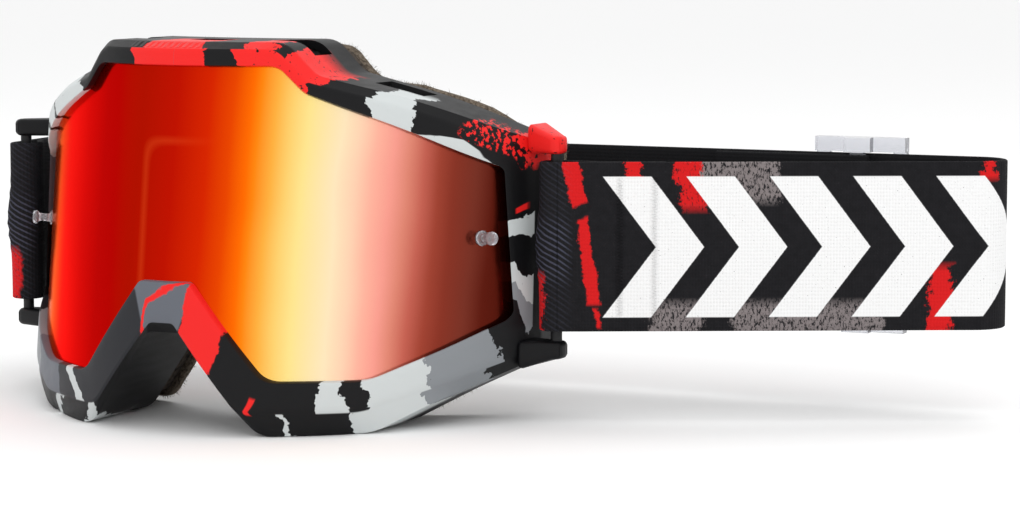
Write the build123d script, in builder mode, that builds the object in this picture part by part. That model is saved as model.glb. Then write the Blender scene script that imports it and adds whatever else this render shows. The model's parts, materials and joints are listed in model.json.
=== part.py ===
"""Motorcycle goggles: frame, mirrored lens, tear-off posts, face foam, vent filters and an elastic strap.

Modelled worn-side back: +X is the wearer's left, -Y is the way the lens faces and +Z is up.
Everything is drawn about the nose's middle plane and moved to its resting place at the end.
"""

from build123d import *

import os
from math import asin, atan2, cos, hypot, radians, sin, sqrt

# ---- driving dimensions, in millimetres ----
NOSE_RADIUS = 54.0  # plan radius of the lens in front of the nose
SIDE_RADIUS = 108.0  # plan radius of the lens towards the temples
NOSE_ARC = 24.0  # arc length from the middle to where the radius changes
LEAN = 0.12  # the front leans back by this much for each unit of height
LEAN_HEIGHT = 83.4  # height at which the lens's middle is at y = 0
LENS_THICKNESS = 1.2
LENS_TUCK = 1.8  # how far the lens reaches into its groove
GROOVE_PLAY = 0.05
RIM_PROUD = 2.5  # how far the rim's face stands in front of the lens
RIM_DEPTH = 4.0  # rear of the rim, behind the lens's front surface
WALL = 2.4
FACE_RADIUS = 95.0  # plan radius of the flange that carries the foam
FACE_APEX = 34.0  # flange's distance behind the lens, at the middle
FLANGE = 2.4
FLANGE_WIDTH = 8.0

BAR_X, BAR_Y, BAR_RADIUS = 87.8, 57.0, 1.6  # upright bars that hold the strap
BAR_LOW, BAR_HIGH = 17.5, 79.5
ARM_HEIGHT = 5.0
ARM_ROOT_X = 77.5  # the arms start inside the shell's side wall
ARM_ROOT_FRONT, ARM_ROOT_REAR = 59.0, 70.0
ARM_TIP = 2.6  # how far an arm reaches past the bar's axis

WEB_WIDTH = 47.0
WEB_LOW = 25.5
WEB_THICKNESS = 1.8
MIDDLE_HEIGHT = WEB_LOW + WEB_WIDTH / 2
LOOP_RADIUS = 3.0  # inside radius of the strap's end loops
LOOP_LENGTH = 30.0  # doubled, sewn length of each end loop
LOOP_HOLLOW = 14.0  # length of the hollow behind the bar
FOLD_CENTRE = (188.4, 115.0)
FOLD_RADIUS = 9.0  # middle of the webbing at the fold
BEND_CENTRE = (-75.0, 97.0)
BEND_RADIUS = 22.0
FOLD_GAP = 1.6  # webbing left out where two stretches turn on each other, at the fold
BEND_GAP = 4.8  # and at the bend, which turns further on a larger radius

POST_ARC, POST_HEIGHT = 89.3, 51.4  # tear-off posts: arc length from the middle, and height

# ---- front-view outlines: corners (x, z, corner radius) of the wearer's left half ----
OPENING = [
    (28.0, 99.4, 5.0),
    (34.6, 92.2, 6.0),
    (56.4, 82.3, 120.0),
    (74.6, 70.6, 3.0),
    (77.3, 29.2, 4.0),
    (66.0, 22.0, 90.0),
    (51.5, 14.6, 12.0),
    (28.3, 14.8, 7.0),
    (7.9, 41.2, 2.5),
]
CREASE = [
    (27.5, 104.0, 6.0),
    (34.8, 95.2, 6.0),
    (58.6, 87.8, 130.0),
    (79.3, 75.4, 3.0),
    (80.2, 19.0, 3.0),
    (66.0, 12.2, 90.0),
    (50.5, 6.3, 12.0),
    (22.5, 6.3, 6.0),
    (3.6, 30.2, 2.5),
]
SHELL = [
    (28.3, 105.8, 7.0),
    (35.9, 96.9, 6.0),
    (59.2, 89.5, 130.0),
    (80.8, 76.9, 4.0),
    (81.2, 17.0, 4.0),
    (66.5, 8.8, 90.0),
    (52.0, 0.0, 12.0),
    (26.0, 0.0, 8.0),
    (6.6, 27.0, 3.0),
]


def plan_point(arc, off=0.0):
    """Point of the lens's plan curve at an arc length from the middle, moved off along its normal."""
    turn = NOSE_ARC / NOSE_RADIUS
    side = -1 if arc < 0 else 1
    if abs(arc) <= NOSE_ARC:
        heading = abs(arc) / NOSE_RADIUS
        x = (NOSE_RADIUS + off) * sin(heading)
        y = NOSE_RADIUS - (NOSE_RADIUS + off) * cos(heading)
        return side * x, y
    heading = turn + (abs(arc) - NOSE_ARC) / SIDE_RADIUS
    x = (NOSE_RADIUS + off) * sin(turn) + (SIDE_RADIUS + off) * (sin(heading) - sin(turn))
    y = NOSE_RADIUS - (NOSE_RADIUS + off) * cos(turn) + (SIDE_RADIUS + off) * (cos(turn) - cos(heading))
    return side * x, y


def both_sides(corners):
    """Closed outline's points and radii from its wearer's-left corners."""
    mirrored = [(-x, z, r) for x, z, r in reversed(corners)]
    whole = corners + mirrored
    return [(x, z) for x, z, _ in whole], [r for _, _, r in whole]


PRISM_FRONT, PRISM_REAR = 40.0, 130.0  # depth range of the front-view prisms


def prism(corners, grow=0.0):
    """Front-view outline carried straight back through the whole depth."""
    points, radii = both_sides(corners)
    with BuildPart() as block:
        with BuildSketch(Plane.XZ.offset(-PRISM_REAR)):
            with BuildLine():
                FilletPolyline(*points, radius=radii, close=True)
            make_face()
            if grow:
                offset(amount=grow, mode=Mode.REPLACE)
        extrude(amount=PRISM_FRONT + PRISM_REAR)
    return block.part


LOW, HIGH = -20.0, 130.0  # height range of the leaning blocks
LEAN_PLANE = Plane(origin=(0, LEAN * (LOW - LEAN_HEIGHT), LOW))
LEAN_LENGTH = (HIGH - LOW) * sqrt(1 + LEAN * LEAN)
PLAN_END = 112.0  # arc length at which the plan curve stops


def front_curve(off, end=PLAN_END):
    """Three tangent arcs of the lens's plan curve; drawn in the current line block."""
    middle = (end + NOSE_ARC) / 2
    ThreePointArc(plan_point(-end, off), plan_point(-middle, off), plan_point(-NOSE_ARC, off))
    ThreePointArc(plan_point(-NOSE_ARC, off), plan_point(0, off), plan_point(NOSE_ARC, off))
    ThreePointArc(plan_point(NOSE_ARC, off), plan_point(middle, off), plan_point(end, off))


def band(front, rear):
    """Leaning sheet between two offsets of the lens's plan curve."""
    with BuildPart() as block:
        with BuildSketch(LEAN_PLANE):
            with BuildLine():
                front_curve(front)
                front_curve(rear)
                for end in (-PLAN_END, PLAN_END):
                    Line(plan_point(end, front), plan_point(end, rear))
            make_face()
        extrude(amount=LEAN_LENGTH, dir=(0, LEAN, 1))
    return block.part


SIDE_REACH = 88.0  # half width of the blocks behind the lens
CAVITY_END = 99.0  # arc length at which the hollow behind the lens stops


def face_arc_y(x, depth):
    """Depth of the face curve at x; depth is counted backwards from the flange's rear.
    In front of it the curves share one centre, and behind it they are shifted straight back."""
    radius = FACE_RADIUS - min(depth, 0)
    return FACE_APEX + FACE_RADIUS + max(depth, 0) - sqrt(radius * radius - x * x)


def body_block(front, rear_depth, end=PLAN_END, reach=SIDE_REACH):
    """Leaning block from an offset of the lens's plan curve back to the face curve."""
    end_x, end_y = plan_point(end, front)
    reach = max(reach, end_x)
    rear_y = face_arc_y(reach, rear_depth)
    with BuildPart() as block:
        with BuildSketch(LEAN_PLANE):
            with BuildLine():
                front_curve(front, end)
                ThreePointArc((reach, rear_y), (0, face_arc_y(0, rear_depth)), (-reach, rear_y))
                for side in (-1, 1):
                    if reach > end_x:
                        Line((side * end_x, end_y), (side * reach, end_y))
                    Line((side * reach, end_y), (side * reach, rear_y))
            make_face()
        extrude(amount=LEAN_LENGTH, dir=(0, LEAN, 1))
    return block.part


FACE_HALF_ANGLE = radians(66)


def face_block(front_depth, rear_depth):
    """Leaning slice between two depths of the face curve."""
    with BuildPart() as block:
        with BuildSketch(LEAN_PLANE):
            with BuildLine():
                ends = []
                for depth in (front_depth, rear_depth):
                    reach = (FACE_RADIUS - min(depth, 0)) * sin(FACE_HALF_ANGLE)
                    y = face_arc_y(reach, depth)
                    ThreePointArc((-reach, y), (0, face_arc_y(0, depth)), (reach, y))
                    ends.append((reach, y))
                for side in (-1, 1):
                    Line(*[(side * x, y) for x, y in ends])
            make_face()
        extrude(amount=LEAN_LENGTH, dir=(0, LEAN, 1))
    return block.part


parts = {}


def finished(name, part):
    """Keeps a finished piece under its node name."""
    part.label = name
    parts[name] = part


# ---- frame moulding: rim, shell, flange and strap brackets in one flexible moulding ----
SHELL_STEP = 1.5  # the shell starts this far behind the lens's front surface
CLEAR = 1.0  # how far cutting blocks reach past what they cut
crease_prism = prism(CREASE)
shell_prism = prism(SHELL)
cavity_prism = prism(SHELL, -WALL)
window_prism = prism(SHELL, -FLANGE_WIDTH)
opening_prism = prism(OPENING)
tuck_prism = prism(OPENING, LENS_TUCK + GROOVE_PLAY)
rim_block = body_block(RIM_PROUD, 0)
shell_block = body_block(-SHELL_STEP, 0)
behind_rim = body_block(-RIM_DEPTH, -FLANGE, CAVITY_END, 0)
groove_band = band(GROOVE_PLAY, -LENS_THICKNESS - GROOVE_PLAY)
flange_slice = face_block(-FLANGE, 0)

TOP_VENTS = (-50, -26, 0, 26, 50)  # x of the vents in the brow
LOW_VENTS = (-46, -32, 32, 46)  # x of the vents under the cheeks
VENT_WIDTH, VENT_DEPTH = 11.0, 9.0
VENT_CUT = 30.0  # height of the blocks that cut the vents
TOP_VENT_HEIGHT, TOP_VENT_BACK = 95.0, 3.5
LOW_VENT_HEIGHT, LOW_VENT_BACK = 3.0, -6.5


def vent_place(x, height, back):
    """Middle of a vent's cutting block: halfway between lens and flange, then moved back."""
    return x, (plan_point(x)[1] + face_arc_y(x, 0)) / 2 + back, height


with BuildPart() as rim:
    add(rim_block)
    add(crease_prism, mode=Mode.INTERSECT)

with BuildPart() as shell:
    add(shell_block)
    add(shell_prism, mode=Mode.INTERSECT)

with BuildPart() as cavity:
    add(behind_rim)
    add(cavity_prism, mode=Mode.INTERSECT)

with BuildPart() as lens_groove:
    add(groove_band)
    add(tuck_prism, mode=Mode.INTERSECT)

with BuildPart() as flange:
    add(flange_slice)
    add(shell_prism, mode=Mode.INTERSECT)

with BuildPart() as frame_moulding:
    add(rim.part)
    add(shell.part)
    add(cavity.part, mode=Mode.SUBTRACT)
    add(flange.part)
    add(window_prism.intersect(face_block(-FLANGE - CLEAR, CLEAR)), mode=Mode.SUBTRACT)
    add(opening_prism.intersect(band(RIM_PROUD + CLEAR, -RIM_DEPTH - CLEAR)), mode=Mode.SUBTRACT)
    add(lens_groove.part, mode=Mode.SUBTRACT)
    for x in TOP_VENTS:
        with Locations(vent_place(x, TOP_VENT_HEIGHT, TOP_VENT_BACK)):
            Box(VENT_WIDTH, VENT_DEPTH, VENT_CUT, mode=Mode.SUBTRACT)
    for x in LOW_VENTS:
        with Locations(vent_place(x, LOW_VENT_HEIGHT, LOW_VENT_BACK)):
            Box(VENT_WIDTH, VENT_DEPTH, VENT_CUT, mode=Mode.SUBTRACT)
    for side in (-1, 1):
        with Locations((side * BAR_X, BAR_Y, (BAR_LOW + BAR_HIGH) / 2)):
            Cylinder(BAR_RADIUS, BAR_HIGH - BAR_LOW)
        for low in (BAR_LOW, BAR_HIGH - ARM_HEIGHT):
            lag = LEAN * (low - LEAN_HEIGHT)  # the frame's side is this much further back at the arm
            with BuildSketch(Plane.XY.offset(low)):
                with BuildLine():
                    Polyline(
                        (side * ARM_ROOT_X, ARM_ROOT_FRONT + lag),
                        (side * BAR_X, BAR_Y - 2 * BAR_RADIUS),
                        (side * (BAR_X + ARM_TIP), BAR_Y - BAR_RADIUS),
                        (side * (BAR_X + ARM_TIP), BAR_Y + ARM_TIP),
                        (side * (ARM_ROOT_X + 3), ARM_ROOT_REAR + lag),
                        (side * ARM_ROOT_X, ARM_ROOT_REAR + lag),
                        close=True,
                    )
                make_face()
            extrude(amount=ARM_HEIGHT)
finished("frame_moulding", frame_moulding.part)


# ---- lens: one bent sheet whose edge sits in the rim's groove ----
def post_plane(side):
    """Plane on the lens's front surface at a tear-off post, looking out along the lens's normal."""
    x, y = plan_point(side * POST_ARC)
    outer_x, outer_y = plan_point(side * POST_ARC, 1.0)
    normal = (outer_x - x, outer_y - y, -LEAN * (outer_y - y))
    return Plane(
        origin=(x, y + LEAN * (POST_HEIGHT - LEAN_HEIGHT), POST_HEIGHT),
        x_dir=(0, LEAN, 1),
        z_dir=normal,
    )


POST_HOLE = 1.35  # radius of the lens's holes for the posts
lens_sheet = band(0, -LENS_THICKNESS)
lens_prism = prism(OPENING, LENS_TUCK)

with BuildPart() as lens:
    add(lens_sheet)
    add(lens_prism, mode=Mode.INTERSECT)
    for side in (-1, 1):
        with BuildSketch(post_plane(side).offset(-LENS_THICKNESS - CLEAR)):
            Circle(POST_HOLE)
        extrude(amount=LENS_THICKNESS + 2 * CLEAR, mode=Mode.SUBTRACT)
finished("lens", lens.part)

# ---- tear-off posts and the clips that hold them behind the lens ----
POST_SEAT = 0.06  # the post's flange stands this far off the curved lens
POST_PROFILE = [
    (0, -3.2),
    (1.15, -3.2),
    (1.15, POST_SEAT),
    (2.1, POST_SEAT),
    (2.1, 0.8),
    (1.15, 1.3),
    (1.15, 4.3),
    (1.95, 4.7),
    (1.95, 5.6),
    (1.5, 6.0),
    (0, 6.0),
]
CLIP_OUTER, CLIP_INNER, CLIP_THICKNESS = 2.6, 1.2, 0.8

for side, word in ((1, "left"), (-1, "right")):
    seat = post_plane(side)
    with BuildPart() as post:
        with BuildSketch(Plane(origin=seat.origin, x_dir=seat.x_dir, z_dir=seat.y_dir * -1)):
            with BuildLine():
                Polyline(*POST_PROFILE, close=True)
            make_face()
        revolve(axis=Axis(seat.origin, seat.z_dir))
    finished("tear_off_post_" + word, post.part)

    with BuildPart() as clip:
        with BuildSketch(seat.offset(-LENS_THICKNESS - CLIP_THICKNESS - POST_SEAT)):
            Circle(CLIP_OUTER)
            Circle(CLIP_INNER, mode=Mode.SUBTRACT)
        extrude(amount=CLIP_THICKNESS)
    finished("post_clip_" + word, clip.part)

# ---- face foam: two foam layers and a fleece that touches the skin ----
FOAM_LAYERS = (("face_foam_base", 6.0), ("face_foam_middle", 5.0), ("face_fleece", 3.0))
FOAM_INSET = 3.4
FOAM_OVERHANG = 2.0  # how far the foam reaches past the flange's inner edge
foam_outer = prism(SHELL, -FOAM_INSET)
foam_inner = prism(SHELL, -FLANGE_WIDTH - FOAM_OVERHANG)
foam_front = 0.0
for name, thickness in FOAM_LAYERS:
    with BuildPart() as foam:
        add(face_block(foam_front, foam_front + thickness))
        add(foam_outer, mode=Mode.INTERSECT)
        add(foam_inner, mode=Mode.SUBTRACT)
    finished(name, foam.part)
    foam_front += thickness

# ---- vent filters: open foam strips inside the shell, over the vents ----
FILTER_GAP = 0.3
FILTER_THICKNESS = 3.0
filter_outer = prism(SHELL, -WALL - FILTER_GAP)
filter_inner = prism(SHELL, -WALL - FILTER_GAP - FILTER_THICKNESS)
FILTER_SETBACK = 5.0  # how far behind the rim the filters start
FILTER_END = 80.0  # arc length at which the filter layer stops
filter_block = body_block(-RIM_DEPTH - FILTER_SETBACK, -FLANGE - FILTER_GAP, FILTER_END, 0)


def vent_filter(name, low, high):
    """The part of the filter layer that lies inside a box."""
    with BuildPart() as strip:
        add(filter_block)
        add(filter_outer, mode=Mode.INTERSECT)
        add(filter_inner, mode=Mode.SUBTRACT)
        with Locations((Vector(low) + Vector(high)) / 2):
            Box(*(Vector(high) - Vector(low)), mode=Mode.INTERSECT)
    finished(name, strip.part)


vent_filter("vent_filter_brow", (-60, -20, 78), (60, 90, 120))
vent_filter("vent_filter_cheek_left", (27, -20, -5), (56, 90, 12))
vent_filter("vent_filter_cheek_right", (-56, -20, -5), (-27, 90, 12))


# ---- strap: elastic webbing round both bars, folded at one side ----
def tangent(start, start_radius, end, end_radius, before=0.0):
    """Line touching two circles that a belt passes counter-clockwise: its two ends and its heading,
    which is never less than the heading of the line before it."""
    gap = hypot(end[0] - start[0], end[1] - start[1])
    line = atan2(end[1] - start[1], end[0] - start[0])
    heading = line - asin((end_radius - start_radius) / gap)
    while heading < before:
        heading += radians(360)
    ends = []
    for (x, y), radius in ((start, start_radius), (end, end_radius)):
        ends.append((x + radius * sin(heading), y - radius * cos(heading)))
    return ends[0], ends[1], heading


def along(point, heading, distance, out=0.0):
    """Point moved along a heading and out to its right-hand side."""
    return (
        point[0] + distance * cos(heading) + out * sin(heading),
        point[1] + distance * sin(heading) - out * cos(heading),
    )


LOOP_MIDDLE = LOOP_RADIUS + WEB_THICKNESS / 2
BAR_LEFT, BAR_RIGHT = (BAR_X, BAR_Y), (-BAR_X, BAR_Y)
side_start, side_end, side_heading = tangent(BAR_LEFT, LOOP_MIDDLE, FOLD_CENTRE, FOLD_RADIUS)
rear_start, rear_end, rear_heading = tangent(
    FOLD_CENTRE, FOLD_RADIUS, BEND_CENTRE, BEND_RADIUS, side_heading
)
last_start, last_end, last_heading = tangent(BEND_CENTRE, BEND_RADIUS, BAR_RIGHT, LOOP_MIDDLE, rear_heading)


def upright(points, low, height):
    """Block with straight sides on a plan outline."""
    with BuildPart() as block:
        with BuildSketch(Plane.XY.offset(low)):
            with BuildLine():
                Polyline(*points, close=True)
            make_face()
        extrude(amount=height)
    return block.part


def web_between(start, heading, length):
    """Flat run of webbing."""
    half = WEB_THICKNESS / 2
    corners = [(0, half), (length, half), (length, -half), (0, -half)]
    return upright([along(start, heading, d, o) for d, o in corners], WEB_LOW, WEB_WIDTH)


def web_round(centre, radius, first, last):
    """Webbing bent about an upright axis, between two headings in radians."""
    with BuildPart() as bend:
        with BuildSketch(Plane.XY.offset(WEB_LOW)):
            with BuildLine():
                for edge in (radius - WEB_THICKNESS / 2, radius + WEB_THICKNESS / 2):
                    ThreePointArc(*[along(centre, h, 0, edge) for h in (first, (first + last) / 2, last)])
                for h in (first, last):
                    Line(*[along(centre, h, 0, radius + e * WEB_THICKNESS / 2) for e in (-1, 1)])
            make_face()
        extrude(amount=WEB_WIDTH)
    return bend.part


def end_loop(bar, heading, hand):
    """Doubled, sewn loop round a bar, running off along the heading.
    The outer layer is to the right of the heading where hand is 1, and to the left where it is -1."""
    outer = LOOP_RADIUS + WEB_THICKNESS
    outline = [(0, outer), (LOOP_LENGTH, outer), (LOOP_LENGTH, LOOP_RADIUS - WEB_THICKNESS)]
    outline += [(1, -outer), (0, -outer)]
    hollow = [(0, LOOP_RADIUS), (LOOP_HOLLOW, LOOP_RADIUS), (0, -LOOP_RADIUS)]
    with BuildPart() as loop:
        with BuildSketch(Plane.XY.offset(WEB_LOW)):
            with Locations(bar):
                Circle(outer)
            with BuildLine():
                Polyline(*[along(bar, heading, d, hand * o) for d, o in outline], close=True)
            make_face()
            with Locations(bar):
                Circle(LOOP_RADIUS, mode=Mode.SUBTRACT)
            with BuildLine():
                Polyline(*[along(bar, heading, d, hand * o) for d, o in hollow], close=True)
            make_face(mode=Mode.SUBTRACT)
        extrude(amount=WEB_WIDTH)
    return loop.part


fold_trim = FOLD_GAP / FOLD_RADIUS
bend_trim = BEND_GAP / BEND_RADIUS
side_length = hypot(side_end[0] - side_start[0], side_end[1] - side_start[1])
rear_length = hypot(rear_end[0] - rear_start[0], rear_end[1] - rear_start[1])
last_length = hypot(last_end[0] - last_start[0], last_end[1] - last_start[1])

side_run = web_between(along(side_start, side_heading, LOOP_LENGTH), side_heading, side_length - LOOP_LENGTH)
side_loop = end_loop(BAR_LEFT, side_heading, 1)
with BuildPart() as strap_side:
    add(side_loop)
    add(side_run)
finished("strap_web_left", strap_side.part)

fold = web_round(FOLD_CENTRE, FOLD_RADIUS, side_heading + fold_trim, rear_heading)
rear_run = web_between(rear_start, rear_heading, rear_length)
with BuildPart() as strap_rear:
    add(fold)
    add(rear_run)
finished("strap_web_rear", strap_rear.part)

bend = web_round(BEND_CENTRE, BEND_RADIUS, rear_heading + bend_trim, last_heading)
last_run = web_between(last_start, last_heading, last_length - LOOP_LENGTH)
last_loop = end_loop(BAR_RIGHT, last_heading + radians(180), -1)
with BuildPart() as strap_far:
    add(bend)
    add(last_run)
    add(last_loop)
finished("strap_web_right", strap_far.part)

# ---- bar tacks: the dense stitching that closes each end loop ----
TACK_HEIGHT, TACK_LENGTH, TACK_PROUD = 38.0, 2.4, 0.5
TACK_MARGIN = 2.0


def bar_tack(name, bar, heading, hand):
    """Two upright rows of thread standing on the loop's outer face."""
    out = LOOP_RADIUS + WEB_THICKNESS
    rows = []
    for start in (LOOP_HOLLOW + TACK_MARGIN, LOOP_LENGTH - TACK_LENGTH - TACK_MARGIN):
        corners = [(start, out), (start + TACK_LENGTH, out)]
        corners += [(start + TACK_LENGTH, out + TACK_PROUD), (start, out + TACK_PROUD)]
        points = [along(bar, heading, d, hand * o) for d, o in corners]
        rows.append(upright(points, MIDDLE_HEIGHT - TACK_HEIGHT / 2, TACK_HEIGHT))
    with BuildPart() as tack:
        add(rows)
    finished(name, tack.part)


bar_tack("bar_tack_left", BAR_LEFT, side_heading, 1)
bar_tack("bar_tack_right", BAR_RIGHT, last_heading + radians(180), -1)

# ---- strap adjusters: three-bar slides on the rear run, each with the doubled-back tail it holds ----
SLIDE_PLACES = (("left", 0.135, 1), ("right", 0.75, -1))  # share of the rear run, and the way its tail points
SLIDE_LENGTH, SLIDE_HEIGHT = 27.0, 56.0
SLIDE_BAR, SLIDE_BAR_THICKNESS = 4.0, 2.2
SLIDE_PLAY = 0.35
RAIL_OVERLAP = 1.6  # how far the long rails reach in past the outer bars
TAIL_LENGTH = 46.0
TAIL_GAP = 0.25


def rear_box(start, length, out_low, out_high, height, middle=MIDDLE_HEIGHT):
    """Block beside the rear run: distance along it, across it (outwards is positive), and its height."""
    corners = [(start, out_low), (start + length, out_low), (start + length, out_high), (start, out_high)]
    points = [along(rear_start, rear_heading, d, o) for d, o in corners]
    return upright(points, middle - height / 2, height)


for word, share, way in SLIDE_PLACES:
    place = share * rear_length
    near = WEB_THICKNESS / 2 + SLIDE_PLAY  # inner side of the outer bars
    far = near + SLIDE_BAR_THICKNESS
    rail = (SLIDE_HEIGHT - WEB_WIDTH) / 2 - SLIDE_PLAY
    bars = [rear_box(place - SLIDE_BAR / 2, SLIDE_BAR, -far, -near, SLIDE_HEIGHT)]
    for start in (place - SLIDE_LENGTH / 2, place + SLIDE_LENGTH / 2 - SLIDE_BAR):
        bars.append(rear_box(start, SLIDE_BAR, near, far, SLIDE_HEIGHT))
    for rise in (-1, 1):
        middle = MIDDLE_HEIGHT + rise * (SLIDE_HEIGHT - rail) / 2
        bars.append(rear_box(place - SLIDE_LENGTH / 2, SLIDE_LENGTH, near - RAIL_OVERLAP, far, rail, middle))
        bars.append(rear_box(place - SLIDE_BAR, 2 * SLIDE_BAR, -far, near, rail, middle))
    with BuildPart() as slide:
        add(bars)
    finished("strap_slide_" + word, slide.part)

    # the tail's end wraps the middle bar's inner side, and the rest lies inside the run
    inner = -far - TAIL_GAP
    tail_start = place - SLIDE_BAR if way > 0 else place + SLIDE_BAR - TAIL_LENGTH
    tail = rear_box(tail_start, TAIL_LENGTH, inner - WEB_THICKNESS, inner, WEB_WIDTH)
    finished("strap_tail_" + word, tail)

# ---- grip beads: raised silicone lines on the inner face of the side run ----
BEAD_WIDTH, BEAD_PROUD = 2.2, 0.5
BEAD_HEIGHTS = (-14.0, 0.0, 14.0)  # from the webbing's middle
BEAD_MARGIN = 7.0
bead_start, bead_end = LOOP_LENGTH + BEAD_MARGIN, side_length - BEAD_MARGIN
lines = []
for height in BEAD_HEIGHTS:
    corners = [(bead_start, 0), (bead_end, 0), (bead_end, -BEAD_PROUD), (bead_start, -BEAD_PROUD)]
    points = [along(side_start, side_heading, d, o - WEB_THICKNESS / 2) for d, o in corners]
    lines.append(upright(points, MIDDLE_HEIGHT + height - BEAD_WIDTH / 2, BEAD_WIDTH))
with BuildPart() as beads:
    add(lines)
finished("grip_beads", beads.part)

# ---- resting place: origin under the middle of the whole object's box, on the surface it stands on ----
boxes = [part.bounding_box() for part in parts.values()]
low_x, low_y, low_z = (min(getattr(box.min, axis) for box in boxes) for axis in "XYZ")
high_x, high_y = (max(getattr(box.max, axis) for box in boxes) for axis in "XY")
shift = Vector(-(low_x + high_x) / 2, -(low_y + high_y) / 2, -low_z)
os.makedirs("parts", exist_ok=True)
for name, part in parts.items():
    placed = part.moved(Location(shift))
    placed.label = name
    export_step(placed, "parts/" + name + ".step")

# ---- places that the joints and mounts are described by, in metres ----
PLACES = (
    ("left bar", (*BAR_LEFT, MIDDLE_HEIGHT)),
    ("fold", (*FOLD_CENTRE, MIDDLE_HEIGHT)),
    ("bend", (*BEND_CENTRE, MIDDLE_HEIGHT)),
    ("right bar", (*BAR_RIGHT, MIDDLE_HEIGHT)),
    ("left post", tuple(post_plane(1).origin)),
    ("right post", tuple(post_plane(-1).origin)),
    ("origin of the drawing", (0, 0, 0)),
)
for name, point in PLACES:
    print("place", name, [round((a + b) / 1000, 5) for a, b in zip(point, shift)])
print("heading of the rear run", [round(cos(rear_heading), 5), round(sin(rear_heading), 5)])
print("post axis", [round(c, 5) for c in post_plane(1).z_dir])
runs = side_length + rear_length + last_length
bends = FOLD_RADIUS * (rear_heading - side_heading) + BEND_RADIUS * (last_heading - rear_heading)
print("webbing length", round(runs + bends, 1))
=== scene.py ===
"""Motorcycle goggles: the looks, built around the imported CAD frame. Metres, in the CAD model's frame."""

import json
import math

import bmesh
import bpy
import numpy as np
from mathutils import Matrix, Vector

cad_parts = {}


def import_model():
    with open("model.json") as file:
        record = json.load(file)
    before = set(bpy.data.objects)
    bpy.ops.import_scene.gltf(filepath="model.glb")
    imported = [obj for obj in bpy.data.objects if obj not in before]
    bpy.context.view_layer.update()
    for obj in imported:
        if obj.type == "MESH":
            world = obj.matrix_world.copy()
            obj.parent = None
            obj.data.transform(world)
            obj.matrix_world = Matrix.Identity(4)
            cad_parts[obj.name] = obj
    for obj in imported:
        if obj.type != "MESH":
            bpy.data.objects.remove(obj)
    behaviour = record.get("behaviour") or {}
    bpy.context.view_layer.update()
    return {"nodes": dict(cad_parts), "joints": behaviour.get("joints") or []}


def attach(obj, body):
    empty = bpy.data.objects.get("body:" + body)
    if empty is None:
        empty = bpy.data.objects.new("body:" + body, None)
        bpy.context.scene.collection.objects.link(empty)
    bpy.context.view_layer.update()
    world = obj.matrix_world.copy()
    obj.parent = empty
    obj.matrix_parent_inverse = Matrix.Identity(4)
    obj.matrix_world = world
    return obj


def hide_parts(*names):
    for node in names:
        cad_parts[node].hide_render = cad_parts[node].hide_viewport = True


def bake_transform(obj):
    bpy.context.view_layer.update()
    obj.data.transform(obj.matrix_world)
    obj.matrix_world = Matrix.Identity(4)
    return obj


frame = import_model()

rng = np.random.default_rng(7)
MM = 0.001

# ---- the drawing's dimensions, millimetres, as in the CAD model ----
NOSE_RADIUS, SIDE_RADIUS, NOSE_ARC = 54.0, 108.0, 24.0
LEAN, LEAN_HEIGHT = 0.12, 83.4
RIM_PROUD, RIM_DEPTH, WALL = 2.5, 4.0, 2.4
FACE_RADIUS, FACE_APEX = 95.0, 34.0
FLANGE, FLANGE_WIDTH = 2.4, 8.0
LENS_THICKNESS = 1.2
BAR_X, BAR_Y, BAR_RADIUS = 87.8, 57.0, 1.6
BAR_LOW, BAR_HIGH, ARM_HEIGHT = 17.5, 79.5, 5.0
ARM_ROOT_X, ARM_ROOT_FRONT, ARM_ROOT_REAR = 78.2, 59.0, 69.7
ARM_TIP, ARM_DEEPER, ARM_BEVEL = 2.6, 3.2, 1.3
WEB_WIDTH, WEB_LOW, WEB_THICKNESS = 47.0, 25.5, 1.8
LOOP_MIDDLE = 3.9
LOOP_LENGTH, LOOP_HOLLOW, LOOP_EASE = 30.0, 14.0, 15.0
FOLD_CENTRE, FOLD_RADIUS = (188.4, 115.0), 9.0
BEND_CENTRE, BEND_RADIUS = (-75.0, 97.0), 22.0
POST_ARC, POST_HEIGHT = 89.3, 51.4
SLIDE_SHARES = {"left": 0.135, "right": 0.75}
SLIDE_PLAY, SLIDE_THICKNESS, TAIL_GAP = 0.35, 2.2, 0.25
HALF_WEB, WEB_MIDDLE = WEB_THICKNESS / 2, WEB_LOW + WEB_WIDTH / 2

# front-view outlines: corners (x, z, corner radius) of the wearer's left half
OPENING = [
    (28.0, 99.4, 5.0), (34.6, 92.2, 6.0), (56.4, 82.3, 120.0),
    (74.6, 70.6, 3.0), (77.3, 29.2, 4.0), (66.0, 22.0, 90.0),
    (51.5, 14.6, 12.0), (28.3, 14.8, 7.0), (7.9, 41.2, 2.5),
]
CREASE = [
    (27.5, 104.0, 6.0), (34.8, 95.2, 6.0), (58.6, 87.8, 130.0),
    (79.3, 75.4, 3.0), (80.2, 19.0, 3.0), (66.0, 12.2, 90.0),
    (50.5, 6.3, 12.0), (22.5, 6.3, 6.0), (3.6, 30.2, 2.5),
]
SHELL = [
    (28.3, 105.8, 7.0), (35.9, 96.9, 6.0), (59.2, 89.5, 130.0),
    (80.8, 76.9, 4.0), (81.2, 17.0, 4.0), (66.5, 8.8, 90.0),
    (52.0, 0.0, 12.0), (26.0, 0.0, 8.0), (6.6, 27.0, 3.0),
]
ARC_STEPS = 7
STRAIGHT_STEP = 1.7
RUN_STEP, ARC_STEP = 1.6, 1.0

# the drawing's origin in the CAD frame, from the joint on the left strap bar
swing = next(joint for joint in frame["joints"] if joint["name"] == "strap_swing")
ORIGIN = np.array([swing["pos_m"][0] / MM - BAR_X, swing["pos_m"][1] / MM - BAR_Y, 0.0])


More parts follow.
